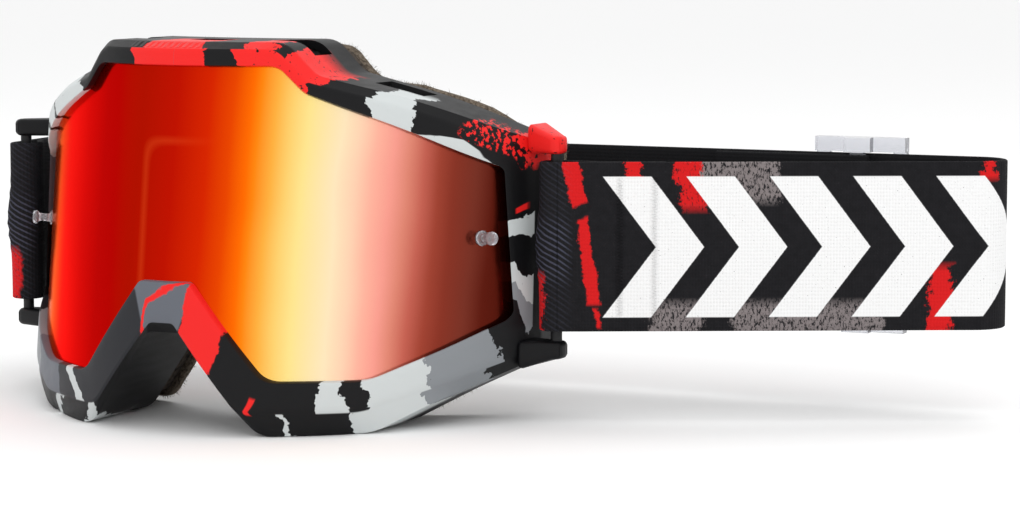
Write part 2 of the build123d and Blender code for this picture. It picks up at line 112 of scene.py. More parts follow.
# ---- curves of the goggles ----
def front_y(x, off):
    """Depth of the lens's plan curve, moved off along its normal, at x."""
    x = np.abs(np.asarray(x, float))
    turn = NOSE_ARC / NOSE_RADIUS
    knee = (NOSE_RADIUS + off) * math.sin(turn)
    near = np.arcsin(np.clip(x / (NOSE_RADIUS + off), -1, 1))
    far = np.arcsin(np.clip(math.sin(turn) + (x - knee) / (SIDE_RADIUS + off), -1, 1))
    y_near = NOSE_RADIUS - (NOSE_RADIUS + off) * np.cos(near)
    knee_y = NOSE_RADIUS - (NOSE_RADIUS + off) * math.cos(turn)
    y_far = knee_y + (SIDE_RADIUS + off) * (math.cos(turn) - np.cos(far))
    return np.where(x < knee, y_near, y_far)


def face_y(x, depth):
    """Depth of the face curve at x, counted backwards from the flange's rear.
    In front of it the curves share one centre, and behind it they are shifted straight back."""
    radius = FACE_RADIUS - min(depth, 0.0)
    back = FACE_APEX + FACE_RADIUS + max(depth, 0.0)
    return back - np.sqrt(np.maximum(radius**2 - np.asarray(x, float) ** 2, 1.0))


def lean(z):
    """How far back the frame leans at a height."""
    return LEAN * (np.asarray(z, float) - LEAN_HEIGHT)


def plan_point(arc, off=0.0):
    """Plan point a length along the lens's curve from the nose, beyond its tight middle arc."""
    turn = NOSE_ARC / NOSE_RADIUS
    heading = turn + (abs(arc) - NOSE_ARC) / SIDE_RADIUS
    x = (NOSE_RADIUS + off) * math.sin(turn) + (SIDE_RADIUS + off) * (math.sin(heading) - math.sin(turn))
    return math.copysign(x, arc), float(front_y(x, off))


def whole(corners):
    """Both halves of an outline, from the wearer's left half."""
    return [*corners, *[(-x, z, r) for x, z, r in reversed(corners)]]


def corner_sides(corners, i):
    """A corner's place, the headings into and out of it, and the length of its shorter side."""
    before, here, after = (np.array(corners[k % len(corners)][:2]) for k in (i - 1, i, i + 1))
    side_in, side_out = np.linalg.norm(here - before), np.linalg.norm(after - here)
    return here, (here - before) / side_in, (after - here) / side_out, min(side_in, side_out)


def inset(corners, distance):
    """Closed corner list moved inwards, with radii that keep the fillets concentric."""
    moved = []
    for i in range(len(corners)):
        here, into, out_of, _ = corner_sides(corners, i)
        # the outline runs clockwise seen from the front, so inwards is to the right
        normal_in = np.array([into[1], -into[0]])
        normal_out = np.array([out_of[1], -out_of[0]])
        miter = (normal_in + normal_out) / (1 + normal_in @ normal_out)
        place = here + miter * distance
        convex = into[0] * out_of[1] - into[1] * out_of[0] < 0
        radius = max(corners[i][2] - distance, 1.0) if convex else corners[i][2] + distance
        moved.append((place[0], place[1], radius))
    return moved


STRAIGHT_COUNTS = []
shell_corners = whole(SHELL)
for i, corner in enumerate(shell_corners):
    after = shell_corners[(i + 1) % len(shell_corners)]
    STRAIGHT_COUNTS.append(max(3, round(math.dist(corner[:2], after[:2]) / STRAIGHT_STEP)))


def ring(corners):
    """Points round a filleted outline. Every outline gives as many, so that they pair up."""
    count = len(corners)
    starts, ends, arcs = [], [], []
    for i in range(count):
        here, into, out_of, shorter = corner_sides(corners, i)
        turn = math.acos(float(np.clip(into @ out_of, -1, 1)))
        reach = min(corners[i][2] * math.tan(turn / 2), 0.48 * shorter)
        radius = reach / math.tan(turn / 2)
        start, end = here - into * reach, here + out_of * reach
        toward = (out_of - into) / np.linalg.norm(out_of - into)
        centre = here + toward * math.hypot(radius, reach)
        first = math.atan2(*(start - centre)[::-1])
        last = math.atan2(*(end - centre)[::-1])
        sweep = (last - first + math.pi) % (2 * math.pi) - math.pi
        angles = first + sweep * np.linspace(0, 1, ARC_STEPS)
        arcs.append(centre + radius * np.stack([np.cos(angles), np.sin(angles)], axis=1))
        starts.append(start)
        ends.append(end)
    points = []
    for i in range(count):
        points.extend(arcs[i])
        steps = STRAIGHT_COUNTS[i]
        for k in range(1, steps):
            points.append(ends[i] + (starts[(i + 1) % count] - ends[i]) * k / steps)
    return np.array(points)


def world(points):
    """Scene coordinates in metres from drawing points."""
    return (np.asarray(points, float).reshape(-1, 3) + ORIGIN) * MM


# ---- meshes ----
def add_object(name, data):
    obj = bpy.data.objects.new(name, data)
    bpy.context.scene.collection.objects.link(obj)
    return obj


def set_attributes(mesh, attributes):
    for label, values in attributes.items():
        layer = mesh.attributes.new(label, "FLOAT", "POINT")
        layer.data.foreach_set("value", np.asarray(values, np.float32).ravel())


def mesh_object(name, points, faces, sharp_deg=35.0, attributes=None):
    """Smooth-shaded object from drawing points in millimetres, with its own named float attributes."""
    mesh = bpy.data.meshes.new(name)
    mesh.from_pydata([tuple(p) for p in world(points)], [], faces)
    set_attributes(mesh, attributes or {})
    tidy = bmesh.new()
    tidy.from_mesh(mesh)
    bmesh.ops.recalc_face_normals(tidy, faces=tidy.faces)
    tidy.to_mesh(mesh)
    tidy.free()
    mesh.shade_smooth()
    mesh.set_sharp_from_angle(angle=math.radians(sharp_deg))
    mesh.validate()
    return add_object(name, mesh)


def grid_faces(rows, columns, closed_rows=False, closed_columns=False, skip=()):
    """Quads of a grid of points numbered row by row."""
    faces = []
    for r in range(rows if closed_rows else rows - 1):
        for c in range(columns if closed_columns else columns - 1):
            if (r, c) in skip:
                continue
            r2, c2 = (r + 1) % rows, (c + 1) % columns
            faces.append((r * columns + c, r * columns + c2, r2 * columns + c2, r2 * columns + c))
    return faces


def sweep(name, rows, closed_columns=False, caps=False, sharp_deg=35.0, attributes=None):
    """Mesh over rows of points that close on themselves; caps fill the first and the last column."""
    rows = np.asarray(rows, float)
    count, columns = rows.shape[:2]
    faces = grid_faces(count, columns, True, closed_columns)
    if caps:
        faces.append(tuple(r * columns for r in range(count)))
        faces.append(tuple(r * columns + columns - 1 for r in reversed(range(count))))
    return mesh_object(name, rows.reshape(-1, 3), faces, sharp_deg, attributes)


def tube(name, path, radius, sides):
    """Round thread along a path, closed at both ends."""
    path = np.asarray(path, float)
    along = np.gradient(path, axis=0)
    along /= np.linalg.norm(along, axis=1, keepdims=True)
    side = np.cross(along, (0.31, 0.17, 0.94))
    side /= np.linalg.norm(side, axis=1, keepdims=True)
    other = np.cross(along, side)
    angles = np.linspace(0, 2 * math.pi, sides, endpoint=False)
    rows = [path + radius * (math.cos(a) * side + math.sin(a) * other) for a in angles]
    return sweep(name, rows, caps=True, sharp_deg=60.0)


def joined(name, objects):
    """One object from several, without operators."""
    collected = bmesh.new()
    for obj in objects:
        collected.from_mesh(obj.data)
    mesh = bpy.data.meshes.new(name)
    collected.to_mesh(mesh)
    collected.free()
    for obj in objects:
        bpy.data.objects.remove(obj)
    return add_object(name, mesh)


def prism_block(name, outline, low, high, bevel):
    """Upright block on a plan outline, with softened edges."""
    count = len(outline)
    points = [(x, y, z) for z in (low, high) for x, y in outline]
    faces = [tuple(range(count)), tuple(range(count, 2 * count))]
    faces += [(i, (i + 1) % count, count + (i + 1) % count, count + i) for i in range(count)]
    obj = mesh_object(name, points, faces)
    shape = bmesh.new()
    shape.from_mesh(obj.data)
    edges = [edge for edge in shape.edges if edge.calc_face_angle(0) > 0.3]
    bmesh.ops.bevel(shape, geom=edges, offset=bevel * MM, segments=3, profile=0.5, affect="EDGES")
    shape.to_mesh(obj.data)
    shape.free()
    obj.data.shade_smooth()
    obj.data.set_sharp_from_angle(angle=math.radians(40))
    return obj


# ---- node expressions ----
def feed(tree, source, socket):
    """Links an expression or an output into an input, or sets a plain number, vector or colour there."""
    source = getattr(source, "socket", source)
    if isinstance(source, bpy.types.NodeSocket):
        tree.links.new(source, socket)
    elif isinstance(source, tuple):
        socket.default_value = (*source, 1.0)[: len(socket.default_value)]
    else:
        socket.default_value = source


class Value:
    """A number in a material's node tree that takes part in sums and comparisons."""

    def __init__(self, tree, socket):
        self.tree, self.socket = tree, socket

    def _math(self, operation, *others, clamp=False):
        node = self.tree.nodes.new("ShaderNodeMath")
        node.operation = operation
        node.use_clamp = clamp
        for value, socket in zip((self, *others), node.inputs):
            feed(self.tree, value, socket)
        return Value(self.tree, node.outputs[0])

    def __add__(self, other):
        return self._math("ADD", other)

    def __sub__(self, other):
        return self._math("SUBTRACT", other)

    def __mul__(self, other):
        return self._math("MULTIPLY", other)

    def abs(self):
        return self._math("ABSOLUTE")

    def mod(self, step):
        return self._math("FLOORED_MODULO", step)

    def sin(self):
        return self._math("SINE")

    def above(self, edge, soft=0.3):
        """1 above an edge and 0 below it, over a soft width."""
        return (self - edge)._math("MULTIPLY_ADD", 1.0 / soft, 0.5, clamp=True)

    def below(self, edge, soft=0.3):
        return (self - edge)._math("MULTIPLY_ADD", -1.0 / soft, 0.5, clamp=True)

    def within(self, low, high, soft=0.3):
        return self.above(low, soft) * self.below(high, soft)

    def either(self, other):
        return self._math("MAXIMUM", other)

    def smooth_either(self, other, width):
        return self._math("SMOOTH_MAX", other, width)


class Material:
    """Principled material built up from expressions."""

    def __init__(self, name, roughness=0.5, metallic=0.0, **settings):
        self.material = bpy.data.materials.new(name)
        self.material.use_nodes = True
        self.tree = self.material.node_tree
        self.shader = self.tree.nodes["Principled BSDF"]
        for key, value in {"Roughness": roughness, "Metallic": metallic, **settings}.items():
            self.drive(key, value)
        self.height = None

    def drive(self, name, value):
        feed(self.tree, value, self.shader.inputs[name])

    def colour(self, colour):
        self.drive("Base Color", colour)

    def node(self, kind, **inputs):
        """New shader node with its inputs fed by name."""
        node = self.tree.nodes.new("ShaderNode" + kind)
        for name, value in inputs.items():
            feed(self.tree, value, node.inputs[name])
        return node

    def attribute(self, name):
        node = self.node("Attribute")
        node.attribute_name = name
        return Value(self.tree, node.outputs["Fac"])

    def place(self, scale=(1, 1, 1), shift=(0, 0, 0)):
        """Position in the piece's own rest coordinates, in millimetres."""
        own = self.node("TexCoord").outputs["Object"]
        per_mm = tuple(s / MM for s in scale)
        return self.node("Mapping", Vector=own, Scale=per_mm, Location=shift).outputs["Vector"]

    def vector(self, x, y, z=0.0):
        return self.node("CombineXYZ", X=x, Y=y, Z=z).outputs[0]

    def noise(self, where, scale=1.0, detail=3.0, roughness=0.55):
        node = self.node("TexNoise", Vector=where, Scale=scale, Detail=detail, Roughness=roughness)
        return Value(self.tree, node.outputs["Fac"])

    def cells(self, where, scale=1.0):
        return Value(self.tree, self.node("TexVoronoi", Vector=where, Scale=scale).outputs["Distance"])

    def ramp(self, value, stops, constant=False):
        """Colour along a value, from a list of (position, (r, g, b)) in the value's own units."""
        low, high = stops[0][0], stops[-1][0]
        node = self.node("ValToRGB", Fac=(value - low) * (1.0 / (high - low)))
        node.color_ramp.interpolation = "CONSTANT" if constant else "LINEAR"
        elements = node.color_ramp.elements
        elements[0].color = (*stops[0][1], 1.0)
        elements[1].color = (*stops[-1][1], 1.0)
        for position, colour in stops[1:-1]:
            element = elements.new((position - low) / (high - low))
            element.color = (*colour, 1.0)
        return node.outputs["Color"]

    def mix(self, share, first, second):
        """Colour that goes from first to second as share goes from 0 to 1."""
        node = self.node("Mix")
        node.data_type = "RGBA"
        # a colour mix has its share, its two colours and its result at these places
        for value, socket in ((share, node.inputs[0]), (first, node.inputs[6]), (second, node.inputs[7])):
            feed(self.tree, value, socket)
        return node.outputs[2]

    def bump(self, height, depth_mm, strength=1.0):
        """Relief from a height of 0 to 1, on top of any relief added before."""
        node = self.node("Bump", Height=height, Distance=depth_mm * MM, Strength=strength)
        if self.height is not None:
            self.tree.links.new(self.height, node.inputs["Normal"])
        self.height = node.outputs["Normal"]
        self.drive("Normal", self.height)


def srgb(*levels):
    """Linear colour from 0-255 display levels."""
    return tuple((c / 255 / 12.92) if c < 11 else ((c / 255 + 0.055) / 1.055) ** 2.4 for c in levels)


BLACK = srgb(13, 13, 15)
CHARCOAL = srgb(38, 39, 43)
SLATE = srgb(98, 102, 110)
MID_GREY = srgb(132, 136, 140)
LIGHT_GREY = srgb(198, 203, 203)
RED = srgb(232, 34, 32)

# torn brush marks along the rim: where each colour starts, in mm from the brow's middle
FACE_PRINT = [
    (-240, CHARCOAL), (-197, LIGHT_GREY), (-193, CHARCOAL), (-184, SLATE), (-165, MID_GREY),
    (-155, CHARCOAL), (-148, BLACK), (-113, SLATE), (-90, LIGHT_GREY), (-76, BLACK), (-74, LIGHT_GREY),
    (-62, BLACK), (-60, LIGHT_GREY), (-43, BLACK), (-14, RED), (8.5, BLACK), (16.5, RED), (41, BLACK),
    (53, LIGHT_GREY), (64, BLACK), (106, LIGHT_GREY), (112, BLACK), (122, LIGHT_GREY), (131, MID_GREY),
    (137, BLACK), (148, MID_GREY), (161, LIGHT_GREY), (176, BLACK), (180, LIGHT_GREY), (187, BLACK),
    (240, BLACK),
]
# the same for the facet and the side wall
EDGE_PRINT = [
    (-240, BLACK), (-206, LIGHT_GREY), (-202, BLACK), (-186, LIGHT_GREY), (-183, BLACK), (-168, SLATE),
    (-160, BLACK), (-112, SLATE), (-83, LIGHT_GREY), (-80, BLACK), (-77, LIGHT_GREY), (-64, BLACK),
    (-62, LIGHT_GREY), (-46, BLACK), (-13, RED), (7, BLACK), (17, RED), (25, BLACK), (29, RED),
    (42, BLACK), (54, LIGHT_GREY), (61, BLACK), (136, BLACK), (149, MID_GREY), (163, LIGHT_GREY),
    (177, BLACK), (192, LIGHT_GREY), (195, BLACK), (205, LIGHT_GREY), (207, BLACK), (240, BLACK),
]
# the mirror's display levels across the lens, from the wearer's right edge to the left one; they hold the
# coating's colour with painted reflection in it, lighter in the gold and darker towards both edges
COATING_AND_REFLECTION = [
    (-78, (120, 60, 40)), (-62, (214, 90, 45)), (-54, (252, 80, 22)), (-46, (252, 48, 2)),
    (-36, (214, 25, 2)), (-27, (186, 18, 2)), (-12, (175, 17, 2)), (0, (190, 19, 2)), (10, (214, 38, 2)),
    (16, (233, 70, 2)), (20.5, (255, 108, 4)), (22.5, (255, 135, 18)), (26.4, (255, 178, 66)),
    (30, (255, 208, 110)), (34, (255, 228, 143)), (42, (254, 230, 188)), (46, (255, 210, 178)),
    (49.5, (255, 180, 158)), (53, (248, 158, 143)), (56, (224, 135, 115)), (59, (196, 98, 83)),
    (62, (160, 68, 52)), (65, (136, 53, 39)), (69, (118, 50, 38)), (72, (92, 28, 18)),
    (78, (70, 18, 10)),
]


def frame_paint():
    """Torn-brush camouflage: s runs round the rim from the brow's middle, v across it, t from the nose."""
    m = Material("frame_print", roughness=0.45, **{"Specular IOR Level": 0.2})
    s, v = m.attribute("s"), m.attribute("v")
    where = m.vector(s, v * 6.0)
    rag = m.noise(m.place(), 0.1, 2.0) - 0.5
    fine = m.noise(m.place(), 0.75, 4.0, 0.6) - 0.5
    torn = s + v * 1.5 + rag * 9.0 + fine * 2.6
    face = m.ramp(torn, FACE_PRINT, constant=True)
    upper = m.ramp(s + rag * 11.0 + fine * 4.0, EDGE_PRINT, constant=True)
    paint = m.mix(v.above(1.02, 0.06), face, upper)
    # the nose: a slate bridge, a red patch on one side and a thin red stroke across
    t = m.attribute("t")
    printed = v.below(1.05, 0.05)
    bridge = m.mix(printed, BLACK, SLATE)
    stroke = (t + v * 9.0 - 2.0 + fine * 1.5).within(-0.7, 0.7, 0.4)
    patch = (t - v * 1.5 + rag * 5.0 + fine * 2.0).within(4.5, 19, 0.4) * printed
    # a light hump on the lens's edge, and two short red ticks
    hump = (s - 76.0 + rag * 6.0).abs() * 0.06 + v
    paint = m.mix(hump.below(0.5, 0.04), paint, LIGHT_GREY)
    tick = (s - 204.0 + v * 3.0).within(-0.7, 0.7, 0.3) * v.within(0.55, 1.05, 0.1)
    tick = tick.either((s - 104.5 + v * 2.0).within(-0.9, 0.9, 0.3) * v.within(0.3, 0.9, 0.1))
    paint = m.mix(tick, paint, RED)
    # red sponge marks at the corner above the strap, and dark specks in the brow's red
    sponge = m.noise(m.place((1.2, 1.2, 1.2), (31, 7, 3)), 0.55, 3.0, 0.6)
    corner = (s + rag * 8.0).within(74, 92, 6.0) * v.above(0.5, 0.5)
    solid = (s + rag * 8.0).within(84, 93, 3.0) * v.above(1.0, 0.4)
    paint = m.mix((sponge + solid * 0.2).above(0.54, 0.03) * corner.above(0.5, 0.2), paint, RED)
    specks = m.noise(m.place((1.0, 1.0, 1.0), (5, 17, 2)), 0.75, 3.0, 0.55)
    paint = m.mix(specks.above(0.66, 0.015) * s.within(12, 46, 4), paint, BLACK)
    dry = m.noise(m.place((0.7, 0.7, 1.5), (3, 9, 21)), 0.6, 4.0, 0.6)
    paint = m.mix(dry.above(0.715, 0.02), paint, BLACK)
    paint = m.mix(t.within(-6, 6, 0.6), paint, bridge)
    paint = m.mix(patch.either(stroke * printed * t.abs().below(14, 0.5)), paint, RED)
    # the moulding's unprinted rear and inside are plain dark rubbery plastic
    paint = m.mix(v.above(2.5, 0.3), paint, BLACK)
    m.colour(paint)
    wear = m.noise(where, 0.35, 3.0)
    m.drive("Roughness", wear * 0.2 + 0.34)
    ribs = ((s * 3.1).sin() * 0.5 + 0.5) * s.within(-15, 7, 2) * v.within(1.15, 1.9, 0.1)
    m.bump(ribs, 0.35, 1.0)
    m.bump(m.noise(m.place(), 6.0, 2.0), 0.04, 0.5)
    return m.material


def lens_mirror():
    """Mirror coating: red at the nose, gold further out and brown at the wearer's left temple, with
    reflection painted into its colour: lighter in the gold and darker towards the edges.
    """
    settings = {"Specular IOR Level": 0.05, "Specular Tint": (1.0, 0.3, 0.08)}
    m = Material("lens_mirror", roughness=0.17, metallic=0.92, **settings)
    x, z = m.attribute("s"), m.attribute("v")
    drift = (m.noise(m.place((0.03, 0.03, 0.03)), 1.0, 1.0) - 0.5) * 3.0
    across = x + (z - 62.0) * -0.03 + drift
    # base colour carries painted reflection as well as the coating: a painted bright band in the gold and
    # painted darkening towards both edges
    coating_and_reflection = m.ramp(across, [(x, srgb(*levels)) for x, levels in COATING_AND_REFLECTION])
    # the rim of the frame's inner opening shows faintly through the coating
    rim = (x * -1.0 - 9.0).smooth_either(z - 79.0, 8.0)
    glow = rim.abs().below(0.7, 1.8) * x.below(6, 14) * 0.2
    m.colour(m.mix(glow, coating_and_reflection, srgb(255, 96, 40)))
    m.drive("Roughness", m.noise(m.place(), 0.2, 4.0) * 0.05 + 0.14)
    m.bump(m.noise(m.place(), 0.08, 1.0), 0.02, 0.3)
    return m.material


def clear_plastic():
    m = Material("clear_plastic", roughness=0.06, **{"Transmission Weight": 0.85, "IOR": 1.49})
    m.colour(m.mix(m.noise(m.place(), 0.6), srgb(240, 240, 245), srgb(225, 228, 235)))
    m.bump(m.noise(m.place(), 1.4, 2.0), 0.03, 0.4)
    return m.material


def plain_plastic(name, colour, lighter, roughness=0.45):
    m = Material(name, roughness=roughness, **{"Specular IOR Level": 0.3})
    m.colour(m.mix(m.noise(m.place(), 0.35, 4.0), colour, lighter))
    m.bump(m.noise(m.place(), 5.0, 2.0), 0.04, 0.5)
    m.drive("Roughness", m.noise(m.place(), 0.25, 3.0) * 0.25 + (roughness - 0.1))
    return m.material


def foam(name, dark, light, pore, depth=0.5):
    m = Material(name, roughness=0.95, **{"Specular IOR Level": 0.1})
    pores = m.cells(m.place(), 1.0 / pore)
    tone = m.noise(m.place(), 0.3, 4.0)
    m.colour(m.mix(pores.within(0.12, 0.6, 0.4) * (tone * 0.8 + 0.3), dark, light))
    m.bump(pores, depth, 0.9)
    m.bump(m.noise(m.place(), 3.0, 4.0), 0.3, 0.8)
    return m.material


def webbing_print(length):
    """Black elastic webbing: ribbed weave, worn grey patches, torn red slashes and plain white chevrons."""
    m = Material("webbing", roughness=0.85, **{"Specular IOR Level": 0.12})
    u, v = m.attribute("u"), m.attribute("v")
    outside = m.attribute("outer")
    flat = m.vector(u, v)
    rag = m.noise(flat, 0.22, 5.0, 0.65) - 0.5
    fine = m.noise(m.vector(u * 2.2, v * 0.9), 1.1, 4.0, 0.7) - 0.5
    torn = u + rag * 9.0 + fine * 4.0
    grain = m.noise(m.vector(u * 1.7, v * 0.8), 0.8, 6.0, 0.75)
    paint = m.mix(m.noise(flat, 0.4, 3.0), srgb(20, 20, 22), srgb(34, 33, 36))
    # worn mauve-grey brush patches along the top and the bottom edges
    top = torn.within(35, 61, 0.8) * v.above(36, 3).either(torn.within(66, 82, 0.8) * v.above(38, 3))
    foot = torn.within(26, 40, 0.8).either(torn.within(48, 90, 0.8)) * v.below(8, 3)
    patch = top.either(foot) * grain.above(0.47, 0.06)
    paint = m.mix(patch, paint, srgb(128, 120, 120))
    # red slashes: one by the bar in three pieces, and single ones further along
    slant = torn + v * 0.22
    end = u - length
    clean = u + rag * 4.0 + fine * 1.3
    gap = v - clean * 0.4 + rag * 5.0
    lower = clean + v * 0.14 - 4.3
    red = (clean + v * 0.21 - 9.9).within(1.2, 5.8, 0.4) * gap.above(32.5, 0.8)
    red = red.either(lower.within(5.2, 8.4, 0.4) * gap.below(28.5, 0.8) * v.above(7.5, 1.0))
    red = red.either(lower.within(6.6, 8.0, 0.4) * v.within(1.0, 6.5, 0.8))
    slashes = [
        (slant, 29, 33, 0.5, v.above(38, 2)),
        (slant, 42, 49.5, 0.5, v.above(34, 3) * grain.above(0.42, 0.05)),
        (torn, -7.5, -3.5, 0.5, v.below(16, 3)),
        (end + rag * 6.0, -9, 6, 1.0, v.below(15, 3) * grain.above(0.4, 0.05)),
        (torn, 103, 109, 0.5, v.below(18, 3)),
        (torn, 118, 121, 0.5, v.above(42, 2)),
    ]
    slashes += [(slant - start, 0, 6, 0.5, grain.above(0.4, 0.05)) for start in (150.0, 205.0, 262.0, 318.0)]
    for place, low, high, soft, where in slashes:
        red = red.either(place.within(low, high, soft) * where)
    paint = m.mix(red, paint, srgb(206, 28, 30))
    # pale threads that show on the ribs beside the bar
    rib = ((u * 0.7 + v) * 3.8).sin().above(0.5, 0.5) * u.within(-9, 3, 3).either(end.within(-3, 9, 3))
    rib = rib * v.within(14, 31, 6.0).either(0.2) * 0.75
    paint = m.mix(rib, paint, srgb(74, 76, 92))
    # plain white chevrons
    arrow = u + (v - 23.5).abs() * 0.75 + fine * 0.4
    stripes = (arrow - 27.0).mod(23.0).within(0.15, 13.5, 0.25)
    white = stripes * v.within(4.0, 43.0, 0.25) * arrow.within(27.0, 134.0, 0.25)
    white = white * m.noise(flat, 2.2, 3.0).above(0.3, 0.05)
    paint = m.mix(white, paint, srgb(236, 236, 236))
    # the inner face has no print
    paint = m.mix(outside.below(0.5, 0.1), paint, srgb(26, 26, 28))
    m.colour(paint)
    ribs = (v * 6.2).sin() * 0.5 + 0.5
    picks = (u * 7.4).sin() * 0.5 + 0.5
    m.bump(ribs * 0.6 + picks * 0.5, 0.18, 0.75)
    m.bump(m.noise(flat, 2.4, 4.0), 0.12, 0.6)
    return m.material


def silicone():
    m = Material("silicone", roughness=0.35, **{"Subsurface Weight": 0.2, "Subsurface Scale": 0.001})
    m.colour(m.mix(m.noise(m.place(), 0.5, 3.0), srgb(196, 197, 200), srgb(176, 177, 181)))
    m.bump(m.noise(m.place(), 1.6, 2.0), 0.08, 0.6)
    return m.material


def dress(obj, material):
    obj.data.materials.clear()
    obj.data.materials.append(material)
    return obj


# ---- frame moulding ----
opening = ring(whole(OPENING))
crease = ring(whole(CREASE))
shell = ring(shell_corners)
wall = ring(inset(shell_corners, WALL))
window = ring(inset(shell_corners, FLANGE_WIDTH))
grown = ring(inset(whole(OPENING), -0.9))
inner_crease = ring(inset(whole(CREASE), 0.7))
COLUMNS = len(opening)


def at_front(outline, off):
    """Outline laid on the lens's curve, moved off along its normal."""
    y = front_y(outline[:, 0], off) + lean(outline[:, 1])
    return np.stack([outline[:, 0], y, outline[:, 1]], axis=1)


def at_face(outline, depth):
    """Outline laid on the face curve, at a depth behind the flange's rear."""
    y = face_y(outline[:, 0], depth) + lean(outline[:, 1])
    return np.stack([outline[:, 0], y, outline[:, 1]], axis=1)


def between(a, b, share):
    return a + (b - a) * share


steps = np.linalg.norm(np.diff(np.vstack([crease, crease[:1]]), axis=0), axis=1)
length = np.concatenate([[0], np.cumsum(steps)])
perimeter = length[-1]
brow_half = abs(crease[0, 0])
distance = length[:-1] + brow_half
around = np.where(distance > perimeter / 2, distance - perimeter, distance)

WALL_ROWS = 16
SHOULDER_BACK, WALL_BACK = 4.5, 5.3
crease_y = at_front(crease, RIM_PROUD)[:, 1]
shoulder = np.stack([shell[:, 0], crease_y + SHOULDER_BACK, shell[:, 1]], axis=1)
wall_front = np.stack([shell[:, 0], crease_y + WALL_BACK, shell[:, 1]], axis=1)
wall_rear = at_face(shell, -FLANGE)
inner_front = at_front(wall, -RIM_DEPTH)
inner_rear = at_face(wall, -FLANGE)
rows, across = [], []


# the section's rows run from the opening's edge over the rim, down the wall, round the flange and back inside
def add_row(points, v):
    rows.append(points)
    across.append(v)


add_row(at_front(opening, -0.25), -0.3)
add_row(at_front(opening, RIM_PROUD - 0.7), -0.1)
add_row(at_front(ring(inset(whole(OPENING), -0.25)), RIM_PROUD - 0.15), 0.0)
add_row(at_front(grown, RIM_PROUD), 0.12)
for share in (0.25, 0.5, 0.75):
    add_row(at_front(between(grown, inner_crease, share), RIM_PROUD), share)
add_row(at_front(inner_crease, RIM_PROUD), 0.92)
add_row(at_front(crease, RIM_PROUD - 0.35), 1.0)
facet_start = rows[-1]
for share in (0.12, 0.5, 0.88):
    add_row(between(facet_start, shoulder, share), 1.0 + share)
add_row(shoulder, 1.95)
OUTER_START = len(rows)
for k in range(WALL_ROWS + 1):
    add_row(between(wall_front, wall_rear, k / WALL_ROWS), 2.0 + 0.9 * k / WALL_ROWS)
add_row(at_face(shell, -0.5), 2.95)
add_row(at_face(ring(inset(shell_corners, 0.5)), 0), 3.2)
add_row(at_face(window, 0), 3.4)
add_row(at_face(window, -FLANGE), 3.5)
INNER_START = len(rows)
for k in range(WALL_ROWS, -1, -1):
    add_row(between(inner_front, inner_rear, k / WALL_ROWS), 3.6)
add_row(at_front(between(wall, opening, 0.5), -RIM_DEPTH), 3.7)
add_row(at_front(opening, -RIM_DEPTH), 3.8)
add_row(at_front(opening, -1.0), 3.9)

# vents: openings through the side wall, outlined on the same columns inside and out
VENTS = [(x, 1) for x in (-50, -26, 0, 26, 50)] + [(x, -1) for x in (-46, -32, 32, 46)]
VENT_HALF_WIDTH, VENT_HALF_DEPTH = 5.5, 4.5
BROW_ABOVE, CHEEK_BELOW = 60, 12
BROW_VENTS_BACK, CHEEK_VENTS_BACK = 3.5, -6.5
skip = set()
vent_walls = []


def through_wall(k, c, next_k, next_c):
    """Quad through the side wall, between two neighbouring points of its rows k and columns c."""
    outer = [(OUTER_START + row) * COLUMNS + column % COLUMNS for row, column in ((k, c), (next_k, next_c))]
    back_row = INNER_START + WALL_ROWS
    inner = [(back_row - row) * COLUMNS + column % COLUMNS for row, column in ((next_k, next_c), (k, c))]
    return (*outer, *inner)


for vent_x, side in VENTS:
    sector = shell[:, 1] > BROW_ABOVE if side > 0 else shell[:, 1] < CHEEK_BELOW
    chosen = np.flatnonzero(sector & (np.abs(shell[:, 0] - vent_x) <= VENT_HALF_WIDTH + 0.4))
    order = sorted(chosen, key=lambda c: around[c])
    back = BROW_VENTS_BACK if side > 0 else CHEEK_VENTS_BACK
    middle = (float(front_y(vent_x, 0)) + float(face_y(vent_x, 0))) / 2 + back
    column = order[len(order) // 2]
    depths = np.linspace(wall_front[column, 1], wall_rear[column, 1], WALL_ROWS + 1)
    first = int(np.argmin(np.abs(depths - (middle - VENT_HALF_DEPTH))))
    last = int(np.argmin(np.abs(depths - (middle + VENT_HALF_DEPTH))))
    first, last = max(first, 1), min(last, WALL_ROWS - 1)
    columns = order[:-1]
    for c in columns:
        for k in range(first, last):
            skip.add((OUTER_START + k, c))
            skip.add((INNER_START + WALL_ROWS - 1 - k, c))
        vent_walls += [through_wall(k, c, k, c + 1) for k in (first, last)]
    for c in (columns[0], columns[-1] + 1):
        vent_walls += [through_wall(k, c, k + 1, c) for k in range(first, last)]

points = np.array(rows).reshape(-1, 3)
faces = grid_faces(len(rows), COLUMNS, closed_rows=True, closed_columns=True, skip=skip) + vent_walls
from_nose = np.where(around > 0, perimeter / 2 - around, -perimeter / 2 - around)
attributes = {
    "s": np.tile(around, len(rows)),
    "v": np.repeat(across, COLUMNS),
    "t": np.tile(from_nose, len(rows)),
}
moulding = mesh_object("frame_shell", points, faces, 28.0, attributes)

frame_material = frame_paint()
bracket_material = plain_plastic("bracket_plastic", srgb(20, 20, 22), srgb(38, 38, 40), 0.5)
# places in the frame's print that the arms take their colour from: its red corner and a black stretch
RED_CORNER, BLACK_STRETCH, PRINT_ACROSS, OFF_NOSE = 87.0, 146.0, 1.5, 90.0


def clamp(value):
    return min(max(value, 0.0), 1.0)


